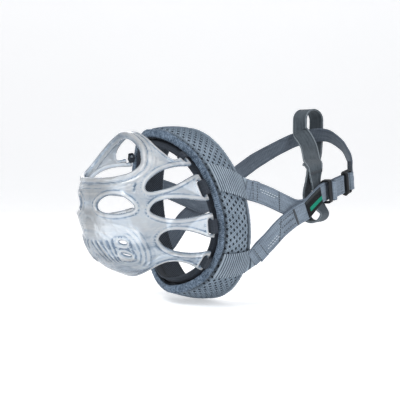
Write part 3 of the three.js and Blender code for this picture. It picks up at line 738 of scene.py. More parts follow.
def thread(name, dark, lit):
    shader = Shader(name)
    tone = shader.noise(2600, detail=3)
    twist = shader.noise(9000, detail=2)
    return shader.finish(shader.principled(
        Base_Color=shader.mix(tone, dark, lit), Roughness=0.6, Sheen_Weight=0.08,
        Normal=shader.bump(twist, strength=0.4, distance=0.0001)))


def moulded_plastic(name, dark, lit, scuffed):
    """Satin grain with faint scuffs on the high edges."""
    shader = Shader(name)
    grain = shader.noise(4200, detail=3)
    scuff = shader.noise(420, detail=5, roughness=0.7)
    patches = shader.noise(70, detail=3)
    edges = shader.node('NewGeometry', out='Pointiness').fade(0.52, 0.62)
    wear = edges * scuff.fade(0.45, 0.65)
    return shader.finish(shader.principled(
        Base_Color=shader.mix(wear * 0.5, shader.mix(patches, dark, lit), scuffed),
        Roughness=scuff * 0.22 + 0.34, Specular_IOR_Level=0.22,
        Normal=shader.bump(grain + scuff * 0.4, strength=0.18, distance=0.00015)))


def clear_silicone(name):
    """Blue-grey and translucent, with painted shade where it turns away from the camera, painted
    light and shade from the shade attribute, and wet highlights.
    """
    shader = Shader(name)
    flow = shader.noise(85, detail=3, roughness=0.5, distortion=1.6)
    haze = shader.noise(48, detail=4)
    dust = shader.noise(1400, detail=3, roughness=0.65)
    normal = shader.bump(flow + dust * 0.04, strength=0.45, distance=0.0014)
    turned = shader.node('LayerWeight', out='Facing', inputs={
        'Blend': 0.5, 'Normal': normal}).fade(0.45, 0.95)
    # shade attribute: painted light and shade lines laid along the basket's relief
    shade = shader.attribute('shade')
    tone = shade.times_plus(0.40, 0.76).vary(flow, by=0.55).vary(haze, by=0.25)
    # painted shade: darker outlines where the surface turns away from the camera
    tone = (tone - turned * 0.46).clamped()
    colour = shader.ramp(tone, [
        (0.0, (0.10, 0.155, 0.23)), (0.30, (0.38, 0.47, 0.57)),
        (0.58, (0.84, 0.90, 0.95)), (1.0, (1.0, 1.0, 1.0))])
    clear = shader.node('BsdfTransparent',
                        shader.mix(tone, (0.50, 0.60, 0.72), (0.95, 0.97, 0.985)))
    skin = shader.principled(
        Base_Color=colour, Roughness=dust.times_plus(0.15, 0.10), Normal=normal,
        Coat_Weight=0.18, Coat_Roughness=0.05, IOR=1.45)
    glow = shader.node('BsdfTranslucent', colour, inputs={'Normal': normal})
    milky = shader.node('MixShader', 0.45, skin, glow)
    opacity = turned.times_plus(0.22, 0.40) + shade.size() * 0.10
    opacity = opacity.vary(haze, by=0.25).clamped()
    body = shader.node('MixShader', opacity, clear, milky)
    gloss = shader.node('BsdfGlossy', inputs={'Roughness': 0.09, 'Normal': normal})
    glancing = shader.node('Fresnel', 1.5, normal) * 0.95
    wet = shader.node('MixShader', glancing.clamped(), body, gloss)
    # light passes easily through the skin to the pieces behind it
    shadow_ray = shader.node('LightPath', out='Is Shadow Ray')
    shadow = shader.node('BsdfTransparent', (0.96, 0.975, 0.985))
    return shader.finish(shader.node('MixShader', shadow_ray * 0.85, wet, shadow))


def label_cloth(name):
    """Black woven ground, greyer along one border, with a slanting green band."""
    shader = Shader(name)
    along, across = shader.uv()
    weave = along.wave(0.42) * across.wave(0.36)
    fibre = shader.noise(3500, detail=3)
    ground = shader.mix((weave * 0.5 + fibre * 0.4).clamped(),
                        (0.003, 0.004, 0.005), (0.016, 0.018, 0.021))
    ground = shader.mix(across.fade(3.6, 5.0) * 0.5, ground, (0.06, 0.07, 0.075))
    off_line = across - along.times_plus(-0.03, -1.4)
    band = off_line.size().fade(1.85, 1.25) * along.fade(3.0, 4.6)
    green = shader.mix((weave * 0.6 + fibre * 0.3).clamped(),
                       (0.0, 0.16, 0.10), (0.02, 0.46, 0.30))
    return shader.finish(shader.principled(
        Base_Color=shader.mix(band, ground, green), Roughness=0.62, Specular_IOR_Level=0.12,
        Normal=shader.bump(weave + fibre * 0.3, strength=0.5, distance=0.0002)))


# Key: material and its slot name, which nothing here applies
MATERIALS = dict(
    silicone=(clear_silicone("clear_silicone"), 'silicone'),
    mesh=(air_mesh("air_mesh_slate", lit=(0.40, 0.475, 0.55), dark=(0.085, 0.12, 0.16),
                   hole=(0.006, 0.009, 0.014), seam_shadow=(0.022, 0.030, 0.042)), 'mesh'),
    # the hem gets strong painted crease light and shade
    hem=(knit_cloth("hem_knit_slate", lit=(0.29, 0.375, 0.48), dark=(0.045, 0.068, 0.10),
                    pitch=1.5, knit_weight=0.34, crease_shade_weight=1.6), 'webbing'),
    lining=(knit_cloth("lining_knit_dark", lit=(0.088, 0.104, 0.128),
                       dark=(0.010, 0.013, 0.018), pitch=1.9, knit_weight=0.75), 'lining'),
    # painted light: the rear binding is coloured lighter to lift the shade on its roll, which turns
    # away from the lights
    binding=(knit_cloth("rear_binding_slate_painted_lighter", lit=(0.38, 0.45, 0.52),
                        dark=(0.12, 0.155, 0.195), pitch=0.9), 'lining'),
    web=(ribbed_web("webbing_slate", lit=(0.31, 0.375, 0.445),
                    dark=(0.08, 0.105, 0.14)), 'webbing'),
    elastic=(elastic_ribs("elastic_slate", lit=(0.37, 0.44, 0.51),
                          dark=(0.05, 0.068, 0.092)), 'elastic'),
    # painted shade: the same slate webbing as the left side, in a darker copy for the shade on the
    # far side
    far_shaded=(ribbed_web("webbing_slate_far_shaded", lit=(0.165, 0.20, 0.245),
                    dark=(0.04, 0.052, 0.07), selvedge=0.5), 'webbing'),
    dark=(ribbed_web("webbing_dark", lit=(0.050, 0.060, 0.078), dark=(0.012, 0.016, 0.022),
                     sheen=0.04), 'dark_webbing'),
    loop=(ribbed_web("webbing_charcoal", lit=(0.12, 0.145, 0.165),
                     dark=(0.022, 0.030, 0.038), rib=1.1, yarn=0.95,
                     pale_edge_colour=(0.26, 0.30, 0.33), selvedge=0.0, pale_line=0.6),
          'loop_webbing'),
    thread=(thread("thread_grey", (0.018, 0.023, 0.030), (0.055, 0.068, 0.082)), 'thread'),
    slate_thread=(thread("thread_slate", (0.10, 0.125, 0.155), (0.22, 0.26, 0.30)), 'thread'),
    pale_thread=(thread("thread_light", (0.46, 0.52, 0.58), (0.66, 0.71, 0.75)), 'thread'),
    black=(moulded_plastic("black_moulded_plastic", dark=(0.006, 0.007, 0.009),
                           lit=(0.014, 0.016, 0.018), scuffed=(0.05, 0.055, 0.06)),
           'hardware'),
    label=(label_cloth("woven_label_green_band"), 'label'))


def to_metres(point):
    return tuple(((np.array(point, float) + SHIFT) / 1000).tolist())


def dress(item, material, body, *parts):
    """Material (its slot is looked up but not applied), CAD parts replaced, and the body it moves
    with; 'blend' bakes the transform and attaches no body.
    """
    surface, slot = MATERIALS[material]
    item.data.materials.clear()
    item.data.materials.append(surface)
    if parts:
        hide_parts(*parts)
    if body == 'blend':
        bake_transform(item)
    else:
        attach(item, body)


def modifier(item, kind, **settings):
    return configure(item.modifiers.new(kind.lower(), kind), **settings)


# ---------------------------------------------------------------- basket
def smooth_loop(outline):
    points = np.array(outline, float)
    count = len(points)
    t = (np.arange(8) / 8)[:, None]
    return np.vstack([cubic(points[i - 1], points[i], points[(i + 1) % count],
                            points[(i + 2) % count], t) for i in range(count)])


def mirrored(outline):
    return [[-x, y] for x, y in outline[::-1]]


def inside_loop(points, loop):
    x, y = points.T
    inside = np.zeros(len(points), bool)
    for (x0, y0), (x1, y1) in zip(loop, np.roll(loop, -1, 0)):
        if y0 != y1:
            crosses = (y0 > y) != (y1 > y)
            inside ^= crosses & (x < (x1 - x0) * (y - y0) / (y1 - y0) + x0)
    return inside


def tab_frame(elevation, side):
    """Rim point of a tab, and its rearward, outward and along-the-rim directions."""
    bearing = elevation * DEG if side > 0 else math.pi - elevation * DEG

    def rim_point(bearing, forward=0.0):
        bearing = np.array([bearing])
        return basket_point(rim_angle(bearing) - forward, bearing)[0]

    end = rim_point(bearing)
    back = -unit(rim_point(bearing, forward=0.06) - end)
    along = unit(rim_point(bearing + 0.05) - end)
    out = unit(np.cross(along, back))
    if out @ (end - CENTRE) < 0:
        out = -out
    rear = unit(np.cross(out, along))
    if rear @ back < 0:
        rear = -rear
    return end, rear, out, along


def opening_outlines():
    cuts = [smooth_loop(half + [point for point in mirrored(half) if point[0] < 0])
            for half in (NOSE, TOP_NOTCH, CHIN_NOTCH)]
    for outline in [FRONT, UPPER_SLOT, MIDDLE_SLOT, LOWER_SLOT] + CHIN_VENTS:
        cuts += [smooth_loop(outline), smooth_loop(mirrored(outline))]
    for elevation, half in TABS:
        for side, _ in SIDES:
            end, rear, _, along = tab_frame(elevation, side)
            slot = rounded_rect(half, TAB_SLOT / 2, 1.0)
            cuts.append(to_flat(end + along * slot[:, :1]
                                + rear * (slot[:, 1:] - TAB_BAR - TAB_SLOT / 2)))
    return cuts


def triangulate(loops, loose, epsilon, inside):
    """Delaunay triangles through loops and loose points, kept where `inside` holds."""
    points = [Vector(point) for point in np.vstack(loops + loose)]
    edges = []
    base = 0
    for loop in loops:
        count = len(loop)
        edges += [(base + i, base + (i + 1) % count) for i in range(count)]
        base += count
    found = delaunay_2d_cdt(points, edges, [], 0, epsilon)
    verts = np.array([tuple(point) for point in found[0]])
    faces = np.array([face for face in found[2] if len(face) == 3])
    a, b, c = (verts[faces[:, k]] for k in range(3))
    down = np.cross(b - a, c - a) < 0
    faces[down] = faces[down][:, ::-1]
    return verts, faces[inside(verts[faces].mean(1))]


def boundary_loops(verts, faces):
    edges = {(face[i], face[(i + 1) % 3]) for face in faces.tolist() for i in range(3)}
    following = {}
    for start, end in edges:
        if (end, start) not in edges:
            following.setdefault(start, []).append(end)

    def follow(vertex):
        ends = following.get(vertex)
        if not ends:
            return None
        end = ends.pop()
        if not ends:
            del following[vertex]
        return end

    loops = []
    while following:
        start = next(iter(following))
        loop = [start]
        current = follow(start)
        while current not in (start, None):
            loop.append(current)
            current = follow(current)
        if len(loop) > 8:
            loops.append(verts[loop])
    return loops


def even_loop(loop, spacing=0.62):
    """A flat loop at even spacing in millimetres, with its corners eased."""
    length = lengths_along(closed(from_flat(loop)))
    count = max(12, int(length[-1] / spacing))
    x = np.linspace(0, length[-1], count, endpoint=False)
    return relax(rows_at(x, length, closed(loop)), 5)


def basket_normal(flat, step=0.05):
    right, up = np.array([step, 0]), np.array([0, step])
    return unit(np.cross(from_flat(flat + right) - from_flat(flat - right),
                         from_flat(flat + up) - from_flat(flat - up)))


def fill_points(loops, rim, edge_tree, in_basket):
    """Rows that follow each edge, then an even triangular grid away from all edges."""
    rows = []
    for loop in loops:
        points = from_flat(loop)
        tangent = unit(np.roll(points, -1, 0) - np.roll(points, 1, 0))
        inward = unit(np.cross(basket_normal(loop), tangent))
        for offset in (0.22, 0.55, 1.0, 1.55, 2.2, 3.0):
            row = to_flat(points + inward * offset)
            row = row[distances(edge_tree, from_flat(row)) > 0.86 * offset]
            rows.append(row[::2] if offset > 2.5 else row)
    rows = np.vstack(rows)
    pitch = 0.82                 # degrees
    steps = np.arange(-130, 131)
    grid = np.vstack([
        np.stack([(steps + (0.5 if j % 2 else 0)) * pitch,
                  np.full(len(steps), j * pitch * 0.866)], 1) for j in steps])
    grid = grid[inside_loop(grid, rim)]
    grid = grid[in_basket(grid)]
    grid = grid[distances(edge_tree, from_flat(grid)) > 3.55]
    return [rows[in_basket(rows)], grid]


def basket_relief(flat, edge, nose):
    """Outer height, inner height and shade at flat points; shade is painted light (above zero) and
    painted shade (below zero) for the silicone.

    edge and nose are millimetres to the nearest edge and to the nose opening. Peaks are
    (height, centre, width).
    """
    side, up = np.abs(flat[:, 0]), flat[:, 1]
    clear = smoothstep(edge, 1.8, 3.2)
    # rounded edges with a bead, and a thick roll round the nose opening
    inner = 1.5 * np.sqrt(np.maximum(0, 1 - (1 - np.minimum(1, edge / 1.5)) ** 2))
    outer = inner + bumps(edge, (0.62, 1.75, 0.85)) * (nose > 5)
    roll = 2.45 * np.sqrt(np.maximum(0, 1 - ((nose - 2.4) / 2.4) ** 2))
    lip = np.minimum(1, edge / 0.5)
    outer = np.where(nose < 4.8, np.maximum(outer, lip * (roll + 0.55)), outer)
    inner = np.where(nose < 4.8, np.maximum(inner, lip * (roll - 0.35)), inner)
    # painted highlight along the edge bead, painted shade lines beside it and right at the edge;
    # the same round the nose roll
    shade = bumps(edge, (0.9, 1.65, 0.6), (-1.45, 3.1, 0.55), (-1.5, 0, 0.55))
    nose_shade = bumps(nose, (0.8, 2.3, 1.0), (-1.6, 4.7, 0.55), (-1.1, 0, 0.55))
    shade = np.where(nose < 5.2, nose_shade, shade)
    # rings round the nose opening
    outer += clear * bumps(nose, (0.42, 6.6, 0.62), (0.34, 8.9, 0.62), (0.22, 11.2, 0.62))
    # painted highlights on the rings, painted shade between them
    shade += clear * bumps(nose, (0.75, 6.6, 0.6), (-0.75, 7.8, 0.5), (0.6, 8.9, 0.6),
                           (-0.6, 10.1, 0.5), (0.4, 11.2, 0.6))
    # slanting chin ribs
    fall = (-13 - up) / 15
    place = (side - 7 * np.clip(fall, 0, 1.3)) / (17 - 7 * np.clip(fall, 0, 1))
    ribs = bumps(place, *[(1, k / 5, 0.045) for k in range(6)])
    chin = (clear * smoothstep(-up, 11.5, 13.5) * (1 - smoothstep(-up, 26, 29))
            * smoothstep(place, -0.05, 0.0) * (1 - smoothstep(place, 0.98, 1.04)))
    outer += 1.15 * ribs * chin
    # painted light on the rib crests, painted shade in the grooves
    shade += chin * (2.3 * ribs - 1.15)
    # rounded frame round the two chin vents
    frame = np.hypot(np.maximum(np.abs(side - 20.6) - 2.7, 0),
                     np.maximum(np.abs(up + 19.1) - 5.6, 0)) - 1.3
    outer += bumps(frame, (0.75, 0.2, 0.65)) * (edge > 0.4) - 0.25 * (frame < -0.6) * clear
    # painted highlight on the frame, painted shade lines either side of it
    shade += clear * bumps(frame, (1.1, 0.2, 0.55), (-1.2, 1.25, 0.45), (-0.9, -0.85, 0.4))
    # rings that fan out beside the frame
    ring = np.hypot(side - 19.0, (up + 19.5) * 0.82)
    fan = smoothstep(side, 24.5, 26) * clear * (1 - smoothstep(np.abs(up + 20), 13, 17))
    for radius in (9.6, 12.4, 15.2):
        outer += fan * bumps(ring, (0.5, radius, 0.6))
        # painted highlight on each ring, painted shade just outside it
        shade += fan * bumps(ring, (0.8, radius, 0.55), (-0.8, radius + 1.3, 0.5))
    # small upright slit on each side
    slit = (1 - smoothstep(np.abs(up - 17.6), 2.2, 3.2)) * clear
    outer -= bumps(side, (1.1, 29.4, 0.75)) * slit
    # painted shade in the slit
    shade -= bumps(side, (1.9, 29.4, 0.8)) * slit
    # flow lines that follow the openings, in relief and as painted light and shade lines, and
    # lighter and darker streaks
    outer += 0.10 * clear * np.sin(TURN * edge / 1.9) * (1 - smoothstep(edge, 7, 10))
    flow = np.sin(TURN * edge / 2.4 + 1.2 * ripple(side * 0.2, up * 0.2, 34))
    shade += 0.16 * clear * flow * (1 - smoothstep(edge, 6, 9)) * smoothstep(edge, 3.6, 4.4)
    shade += 0.55 * clear * ripple(side * 0.10, up * 0.75, 33)
    # painted shade: darker toward the bottom, against the light the chin takes from the bright
    # floor
    shade -= 0.78 * smoothstep(-up, 9, 17) * clear
    # painted shade line with a painted highlight above it, for a fold below the front openings
    shade += (bumps(up + 0.02 * side * side, (-0.7, -7.5, 0.7), (0.5, -6.2, 0.6))
              * (1 - smoothstep(side, 24, 30)) * clear)
    return outer, inner, shade


def build_basket():
    bearing = np.linspace(-np.pi, np.pi, 720, endpoint=False)
    reach = rim_angle(bearing) / DEG
    rim = np.stack([reach * np.cos(bearing), reach * np.sin(bearing)], 1)
    cuts = opening_outlines()

    def uncut(points):
        return inside_loop(points, rim) & ~np.any([inside_loop(points, c) for c in cuts], 0)

    loops = [even_loop(loop)
             for loop in boundary_loops(*triangulate([rim] + cuts, [], 1e-5, uncut))]

    def in_basket(points):
        return np.logical_xor.reduce([inside_loop(points, loop) for loop in loops])

    dense = np.vstack([np.vstack([loop, 0.5 * (loop + np.roll(loop, -1, 0))])
                       for loop in loops])
    edge_tree = kd_tree(from_flat(dense))
    loose = fill_points(loops, rim, edge_tree, in_basket)
    flat, faces = triangulate(loops, loose, 1e-6, in_basket)
    used = np.unique(faces)
    flat = flat[used]
    faces = np.searchsorted(used, faces)
    edges = np.sort(np.vstack([faces[:, [0, 1]], faces[:, [1, 2]], faces[:, [2, 0]]]), 1)
    edges, uses = np.unique(edges, axis=0, return_counts=True)
    on_edge = np.zeros(len(flat), bool)
    on_edge[edges[uses == 1]] = True

    middle = from_flat(flat)
    normal = basket_normal(flat)
    edge = distances(edge_tree, middle)
    edge[on_edge] = 0
    in_nose, below_nose = np.array([[0.0, 36.0]]), np.array([[0.0, 10.0]])
    nose_loop = [loop for loop in loops
                 if inside_loop(in_nose, loop)[0] and not inside_loop(below_nose, loop)[0]][0]
    nose = distances(kd_tree(from_flat(nose_loop)), middle)
    outer, inner, shade = basket_relief(flat, edge, nose)
    outer = np.where(on_edge, 0, np.maximum(outer, 0.02))
    inner = np.where(on_edge, 0, np.maximum(inner, 0.02))

    # the inner sheet shares the edge vertices of the outer one
    free = ~on_edge
    inner_index = np.arange(len(flat))
    inner_index[free] = len(flat) + np.arange(free.sum())
    points = np.vstack([middle + normal * outer[:, None],
                        (middle - normal * inner[:, None])[free]])
    item = make_mesh("silicone_basket_shell", points,
                     np.vstack([faces, inner_index[faces][:, ::-1]]).tolist())
    # shade: painted light and shade, weaker on the inner sheet
    add_attribute(item, "shade", np.r_[shade, shade[free] * 0.4])
    return item


dress(build_basket(), 'silicone', 'muzzle', 'silicone_basket')


# ---------------------------------------------------------------- padded band
def band_stations(count):
    """Angles round the band, lengths along it with the full turn last, and its widths."""
    angle = np.arange(count) / count * TURN
    length = lengths_along(closed(band_point(angle, 0.5, 3.0)))
    return angle, length, np.linalg.norm(rear_edge(angle) - front_edge(angle), axis=1)


BAND_LENGTH = band_stations(720)[1][-1]


def loosen(along, across, length):
    """Wander of the mesh pattern, periodic round the band."""
    angle = TURN * along / length
    return (along + 0.75 * ripple(np.sin(angle) * 6, across * 0.16, 51, z=np.cos(angle) * 6),
            across + 0.55 * ripple(np.sin(angle) * 7, across * 0.13, 52, z=np.cos(angle) * 7))


def band_mesh(name, shares, depths, count, displace=None, is_cover=False):
    """Closed section swept round the band, from shares of its width and depths."""
    angle, length, widths = band_stations(count)
    shares = np.broadcast_to(shares, (count, shares.shape[-1]))
    points = band_point(angle[:, None], shares, depths)
    if displace:
        points = points + displace(points)
    across = shares * widths[:, None]
    along = np.repeat(length[:-1, None], shares.shape[1], 1)
    if is_cover:
        along, across = loosen(along, across, length[-1])
    item = tube_mesh(name, points, np.stack([along, across], -1), wrap=length[-1])
    if is_cover:
        to_seam = np.minimum(shares - PAD_FRONT, PAD_REAR - shares)
        add_attribute(item, "seam", to_seam * widths[:, None])
    return item


def pad_field():
    """Displacement of the sewn pad under air pressure, from a cloth run."""
    frames = 20
    share = np.linspace(PAD_FRONT, PAD_REAR, 11)
    inside = (share > 0.15) & (share < 0.87)
    depth = np.r_[np.where(inside, 0.9, 1.6), np.where(inside, 5.0, 4.4)]
    pad = band_mesh("pad_sim", np.r_[share, share[::-1]], depth, 150)
    modifier(pad, 'REMESH', mode='VOXEL', voxel_size=0.0030)
    bpy.context.view_layer.objects.active = pad
    graph = bpy.context.evaluated_depsgraph_get()
    mesh = bpy.data.meshes.new_from_object(pad.evaluated_get(graph))
    pad.modifiers.clear()
    pad.data = mesh
    start = np.array([vertex.co for vertex in mesh.vertices])
    rest = start * 1000 - SHIFT

    # the sewn edges stay put
    angle = np.linspace(0, TURN, 720, endpoint=False)
    seams = np.vstack([band_point(angle, share, depth)
                       for share in (PAD_FRONT, PAD_REAR) for depth in (1.4, 3.0, 4.6)])
    pinned = np.where(distances(kd_tree(seams), rest) < 2.4)[0]
    pad.vertex_groups.new(name="pin").add(pinned.tolist(), 1.0, 'REPLACE')
    cloth = modifier(pad, 'CLOTH')
    configure(cloth.settings, quality=5, mass=0.25, use_pressure=True,
              uniform_pressure_force=150.0, vertex_group_mass="pin", tension_stiffness=12,
              compression_stiffness=10, shear_stiffness=6, bending_stiffness=0.4)
    cloth.settings.effector_weights.gravity = 0.0
    cloth.collision_settings.use_collision = False
    configure(cloth.point_cache, frame_start=1, frame_end=frames)
    scene = configure(bpy.context.scene, frame_start=1, frame_end=frames)
    for frame in range(1, frames + 1):
        scene.frame_set(frame)
    graph = bpy.context.evaluated_depsgraph_get()
    result = pad.evaluated_get(graph).to_mesh()
    moved = (np.array([vertex.co for vertex in result.vertices]) - start) * 1000
    pad.evaluated_get(graph).to_mesh_clear()
    scene.frame_set(1)
    bpy.data.objects.remove(pad)

    moved[~np.isfinite(moved)] = 0
    most = 0.8
    size = np.linalg.norm(moved, axis=1)
    moved *= np.minimum(1, most / np.maximum(size, 1e-9))[:, None]
    tree = kd_tree(rest)

    def field(points):
        flat = points.reshape(-1, 3)
        out = np.zeros_like(flat)
        for i, point in enumerate(flat.tolist()):
            near = tree.find_n(point, 6)
            weight = np.array([1 / (0.6 + hit[2] ** 2) for hit in near])
            out[i] = (moved[[hit[1] for hit in near]] * weight[:, None]).sum(0) / weight.sum()
        return out.reshape(points.shape)
    return field


def mesh_cover():
    """Fine outer sheet with the mesh holes pressed in, and a plain back."""
    count = 720
    share = np.linspace(PAD_FRONT - 0.012, PAD_REAR + 0.012, 64)
    _, length, widths = band_stations(count)
    shares = np.tile(share, (count, 1))
    along = np.repeat(length[:-1, None], len(share), 1)
    across = shares * widths[:, None]
    edge = np.minimum(shares - PAD_FRONT, PAD_REAR - shares) * BAND_WIDTH
    tuck = (2.3, 0, 1.7)
    depth = (0.35 + bumps((shares - share[0]) * BAND_WIDTH, tuck)
             + bumps((share[-1] - shares) * BAND_WIDTH, tuck))
    # slack: soft pulls that leave the seams
    pulls = np.sin(along * TURN / 11.0 + 1.5 * np.sin(along / 23))
    depth += pulls * bumps(edge, (0.16, 0, 6)) + 0.30 * ripple(along * 0.05, across * 0.09, 5)
    along, across = loosen(along, across, length[-1])
    row = across / HOLE_ROW
    row_number = np.floor(row)
    hole_x = (along / HOLE_PITCH + ((row_number + 1000) % 2) * 0.5) % 1 - 0.5
    hole_y = row - row_number - 0.5
    distance = np.hypot(hole_x * HOLE_PITCH / HOLE_HALF_LONG, hole_y * HOLE_ROW / HOLE_HALF_SHORT)
    depth += 0.55 * smoothstep(-distance, -1.3, -0.6) * smoothstep(edge, 0.4, 1.2)
    back = np.tile(np.linspace(PAD_REAR + 0.004, PAD_FRONT - 0.004, 10), (count, 1))
    return band_mesh("band_air_mesh_cover", np.hstack([shares, back]),
                     np.hstack([depth, np.full(back.shape, 5.5)]), count,
                     displace=pad_field(), is_cover=True)


def edge_roll(name, share, half_share, half_depth, pull, pitch, lump, lump_rate, seed):
    """Rolled cloth edge, drawn in a little at each stitch; pitch is the stitch spacing."""
    count, around = 640, 22
    angle = np.arange(around) / around * TURN
    place = np.arange(count) / count
    along = place * BAND_LENGTH
    wander = 2.4 * ripple(np.sin(TURN * place) * 9, np.cos(TURN * place) * 9, 70 + seed)
    drawn = (0.5 + 0.5 * np.cos(TURN * along / pitch + wander))[:, None]
    scale = (1 - pull * drawn * (0.5 + 0.5 * np.cos(angle))
             + lump * ripple(along[:, None] * lump_rate, angle[None] * 1.1, seed))

    def squared(wave):
        return np.sign(wave) * np.abs(wave) ** 0.8

    return band_mesh(name, share + half_share * squared(np.cos(angle)) * scale,
                     2.8 - half_depth * squared(np.sin(angle)) * scale, count)


def inner_lining():
    """Faintly quilted sheet on the inner side of the pad."""
    count = 480
    share = np.linspace(0.075, 0.945, 36)
    along = np.arange(count)[:, None] / count * BAND_LENGTH
    depth = (6.15 + 0.25 * ripple(along * 0.06, share * 3.5, 9)
             - bumps((share - 0.24) * BAND_WIDTH, (0.35, 0, 1.0)))
    inner = depth + 0.9 + 0.25 * np.sin(np.pi * (share - 0.075) / 0.87)
    return band_mesh("band_inner_lining", np.r_[share, share[::-1]],
                     np.hstack([np.maximum(depth - 0.35, 5.75), inner[:, ::-1]]), count)


def rim_webbing():
    """Dark webbing just inside the hem, which carries the tabs."""
    count = 900
    share = np.linspace(-0.055, 0.25, 22)
    along = np.arange(count)[:, None] / count * BAND_LENGTH
    rib = 0.09 * np.cos(TURN * along / 1.5)
    depth = np.linspace(9.0, 8.2, 22) + 0.18 * ripple(along * 0.08, share * 5, 12)
    return band_mesh("rim_webbing_band", np.r_[share, share[::-1]],
                     np.hstack([depth + rib, (depth + 1.15 - rib)[:, ::-1]]), count)


def band_stitches(share, depth, length, gap, side=1):
    """A row round the band; side 1 stands it outward, -1 inward."""
    angle = np.linspace(0, TURN, 1400)
    points = band_point(angle, share, depth)
    out = unit(band_point(angle, share, depth - 1) - points)
    return stitch_row(points, out * side, length, gap)


def tab_loops():
    """Loops of webbing through the basket's tab slots."""
    points, uvs, faces = [], [], []
    rows = 56
    base = 0
    angle = (np.arange(rows) / rows * TURN)[:, None]
    for n, (elevation, half) in enumerate(TABS):
        # the top pair is slimmer and narrower
        spare_run, spare_out, inset = (0.72, 0.85, 2.4) if n == 0 else (0.95, 1.5, 0.9)
        for side, _ in SIDES:
            end, rear, out, along = tab_frame(elevation, side)
            section = web_section(2 * (half - inset), 0.95, 12)
            across = section[:, 0]
            through = section[:, 1] + 0.05 * np.cos(angle * 9) * np.sign(section[:, 1])
            points.append(turn_points(
                end - rear * TAB_BAR / 2, along, rear, out, across, through,
                TAB_BAR / 2 + spare_run, SKIN / 2 + spare_out, 4).reshape(-1, 3))
            uvs.append(np.stack(np.broadcast_arrays(angle * 2.2, across), -1).reshape(-1, 2))
            faces.append(grid_faces(rows, len(section), True, True) + base)
            base += rows * len(section)
    item = make_mesh("tab_webbing_loops", np.vstack(points), np.vstack(faces).tolist())
    add_uv(item.data, np.vstack(uvs))
    fix_normals(item)
    return item


dress(mesh_cover(), 'mesh', 'muzzle', 'band_mesh_cover', 'band_foam_core')
dress(edge_roll("front_hem_roll", share=0.043, half_share=0.040, half_depth=2.8, pull=0.13,
                pitch=4.3, lump=0.15, lump_rate=0.30, seed=1),
      'hem', 'muzzle', 'front_hem_binding')
dress(edge_roll("rear_binding_roll", share=0.957, half_share=0.046, half_depth=3.0, pull=0.09,
                pitch=3.1, lump=0.05, lump_rate=0.12, seed=4),
      'binding', 'muzzle', 'rear_edge_binding')
dress(inner_lining(), 'lining', 'muzzle', 'band_lining')
dress(stitches("band_seam_stitching",
               band_stitches(0.088, 1.55, length=2.1, gap=1.0)
               + band_stitches(0.935, 1.6, length=2.1, gap=1.0), radius=0.22),
      'slate_thread', 'muzzle')
dress(stitches("lining_stitching",
               band_stitches(0.24, 7.05, length=2.2, gap=1.1, side=-1)
               + band_stitches(0.90, 7.2, length=2.2, gap=1.1, side=-1), radius=0.24),
      'thread', 'muzzle')
dress(rim_webbing(), 'dark', 'muzzle', 'rim_webbing')
dress(tab_loops(), 'dark', 'muzzle',
      *[f"tab_loop_{level}_{name}" for level in ('top', 'upper', 'lower', 'bottom')
        for _, name in SIDES])

# ---------------------------------------------------------------- Y straps and neck strap
ARM_WIDTH = 14.6
OUTWARD = np.array([1.0, 0.05, 0.0])
MIRROR = np.array([-1, 1, 1])
# The straight run of the left neck strap that carries the adjuster
RUN_START = np.array([51.2, 79.5, 4.9])
RUN_END = np.array([38.4, 117.0, 11.9])
# Centrelines (x, y, z). Both lower straps start with the same arm, mirrored.
UPPER_ARM = np.array([[55.2, -1.5, 9.2], [55.3, 3.6, 8.0], [56.0, 14, 5.2], [56.8, 30, -0.7],
                      [57.6, 46.2, -6.3], [58.0, 58, -5.2]])
LOWER_ARM = np.array([[53.4, 5.5, -41.5], [54.2, 10.5, -36.8], [56.8, 18, -29.6],
                      [59.0, 29, -19.4], [60.2, 40, -12.4]])
LEFT_STRAP = np.vstack([LOWER_ARM, [
    [60.6, 46.5, -9.4], [60.4, 52, -7.6], [57.8, 61, -3.0], [54.6, 70, 1.2], RUN_START,
    [44.2, 100, 8.75], RUN_START + (RUN_END - RUN_START) * 0.94]])
RIGHT_STRAP = np.vstack([LOWER_ARM * MIRROR, [
    [-60.5, 46.5, -9.0], [-60.4, 52, -6.6], [-57.5, 72, 10], [-50.5, 95, 27.5],
    [-43.5, 110, 37.5], [-30, 134, 50.5], [-12, 149, 54], [4, 153, 45.5], [15.5, 150, 35.0],
    [24.0, 144.5, 25.5], [29.6, 138.4, 19.6], [32.5, 134.4, 16.4], [34.4, 130.8, 14.4]]])


def left_facing(points, _):
    """Outward, turning to the rear along the neck."""
    turn = smoothstep(points[:, 1], 40, 100)
    return np.stack([1 + 0 * turn, 0.05 + 0.40 * turn, 0.02 + 0 * turn], 1)


def right_facing(points, s):
    """Outward at the arm, round the back of the neck, then as the run on the left."""
    x, y = points[:, 0], points[:, 1]
    s = np.minimum(1, s * 17 / 15)
    lift = 46 * smoothstep(s, 0.5, 0.7) * (1 - smoothstep(s, 0.78, 0.97))
    neck = unit(np.stack([x, 0.9 * (y - 95) * smoothstep(y, 60, 105) + 3, lift], 1))
    late = smoothstep(s, 0.86, 1.0)[:, None]
    neck = (1 - late) * neck + late * unit([0.82, 0.56, 0.12])
    leaving = smoothstep(y, 55, 80)[:, None]
    return unit((1 - leaving) * OUTWARD * MIRROR + leaving * neck)


UPPER = {'left': Strap(UPPER_ARM, OUTWARD), 'right': Strap(UPPER_ARM * MIRROR, OUTWARD * MIRROR)}
LOWER = {'left': Strap(LEFT_STRAP, left_facing), 'right': Strap(RIGHT_STRAP, right_facing)}
# the right side takes the darker copy of the webbing, painted shade for the far side
WEB_OF = {'left': 'web', 'right': 'far_shaded'}


def narrow_start(share, reach):
    return 1 - bumps(share, (0.20, 0, reach))


def right_taper(share):
    return narrow_start(share, 0.03) * (1 - 0.16 * smoothstep(share, 0.74, 0.93))


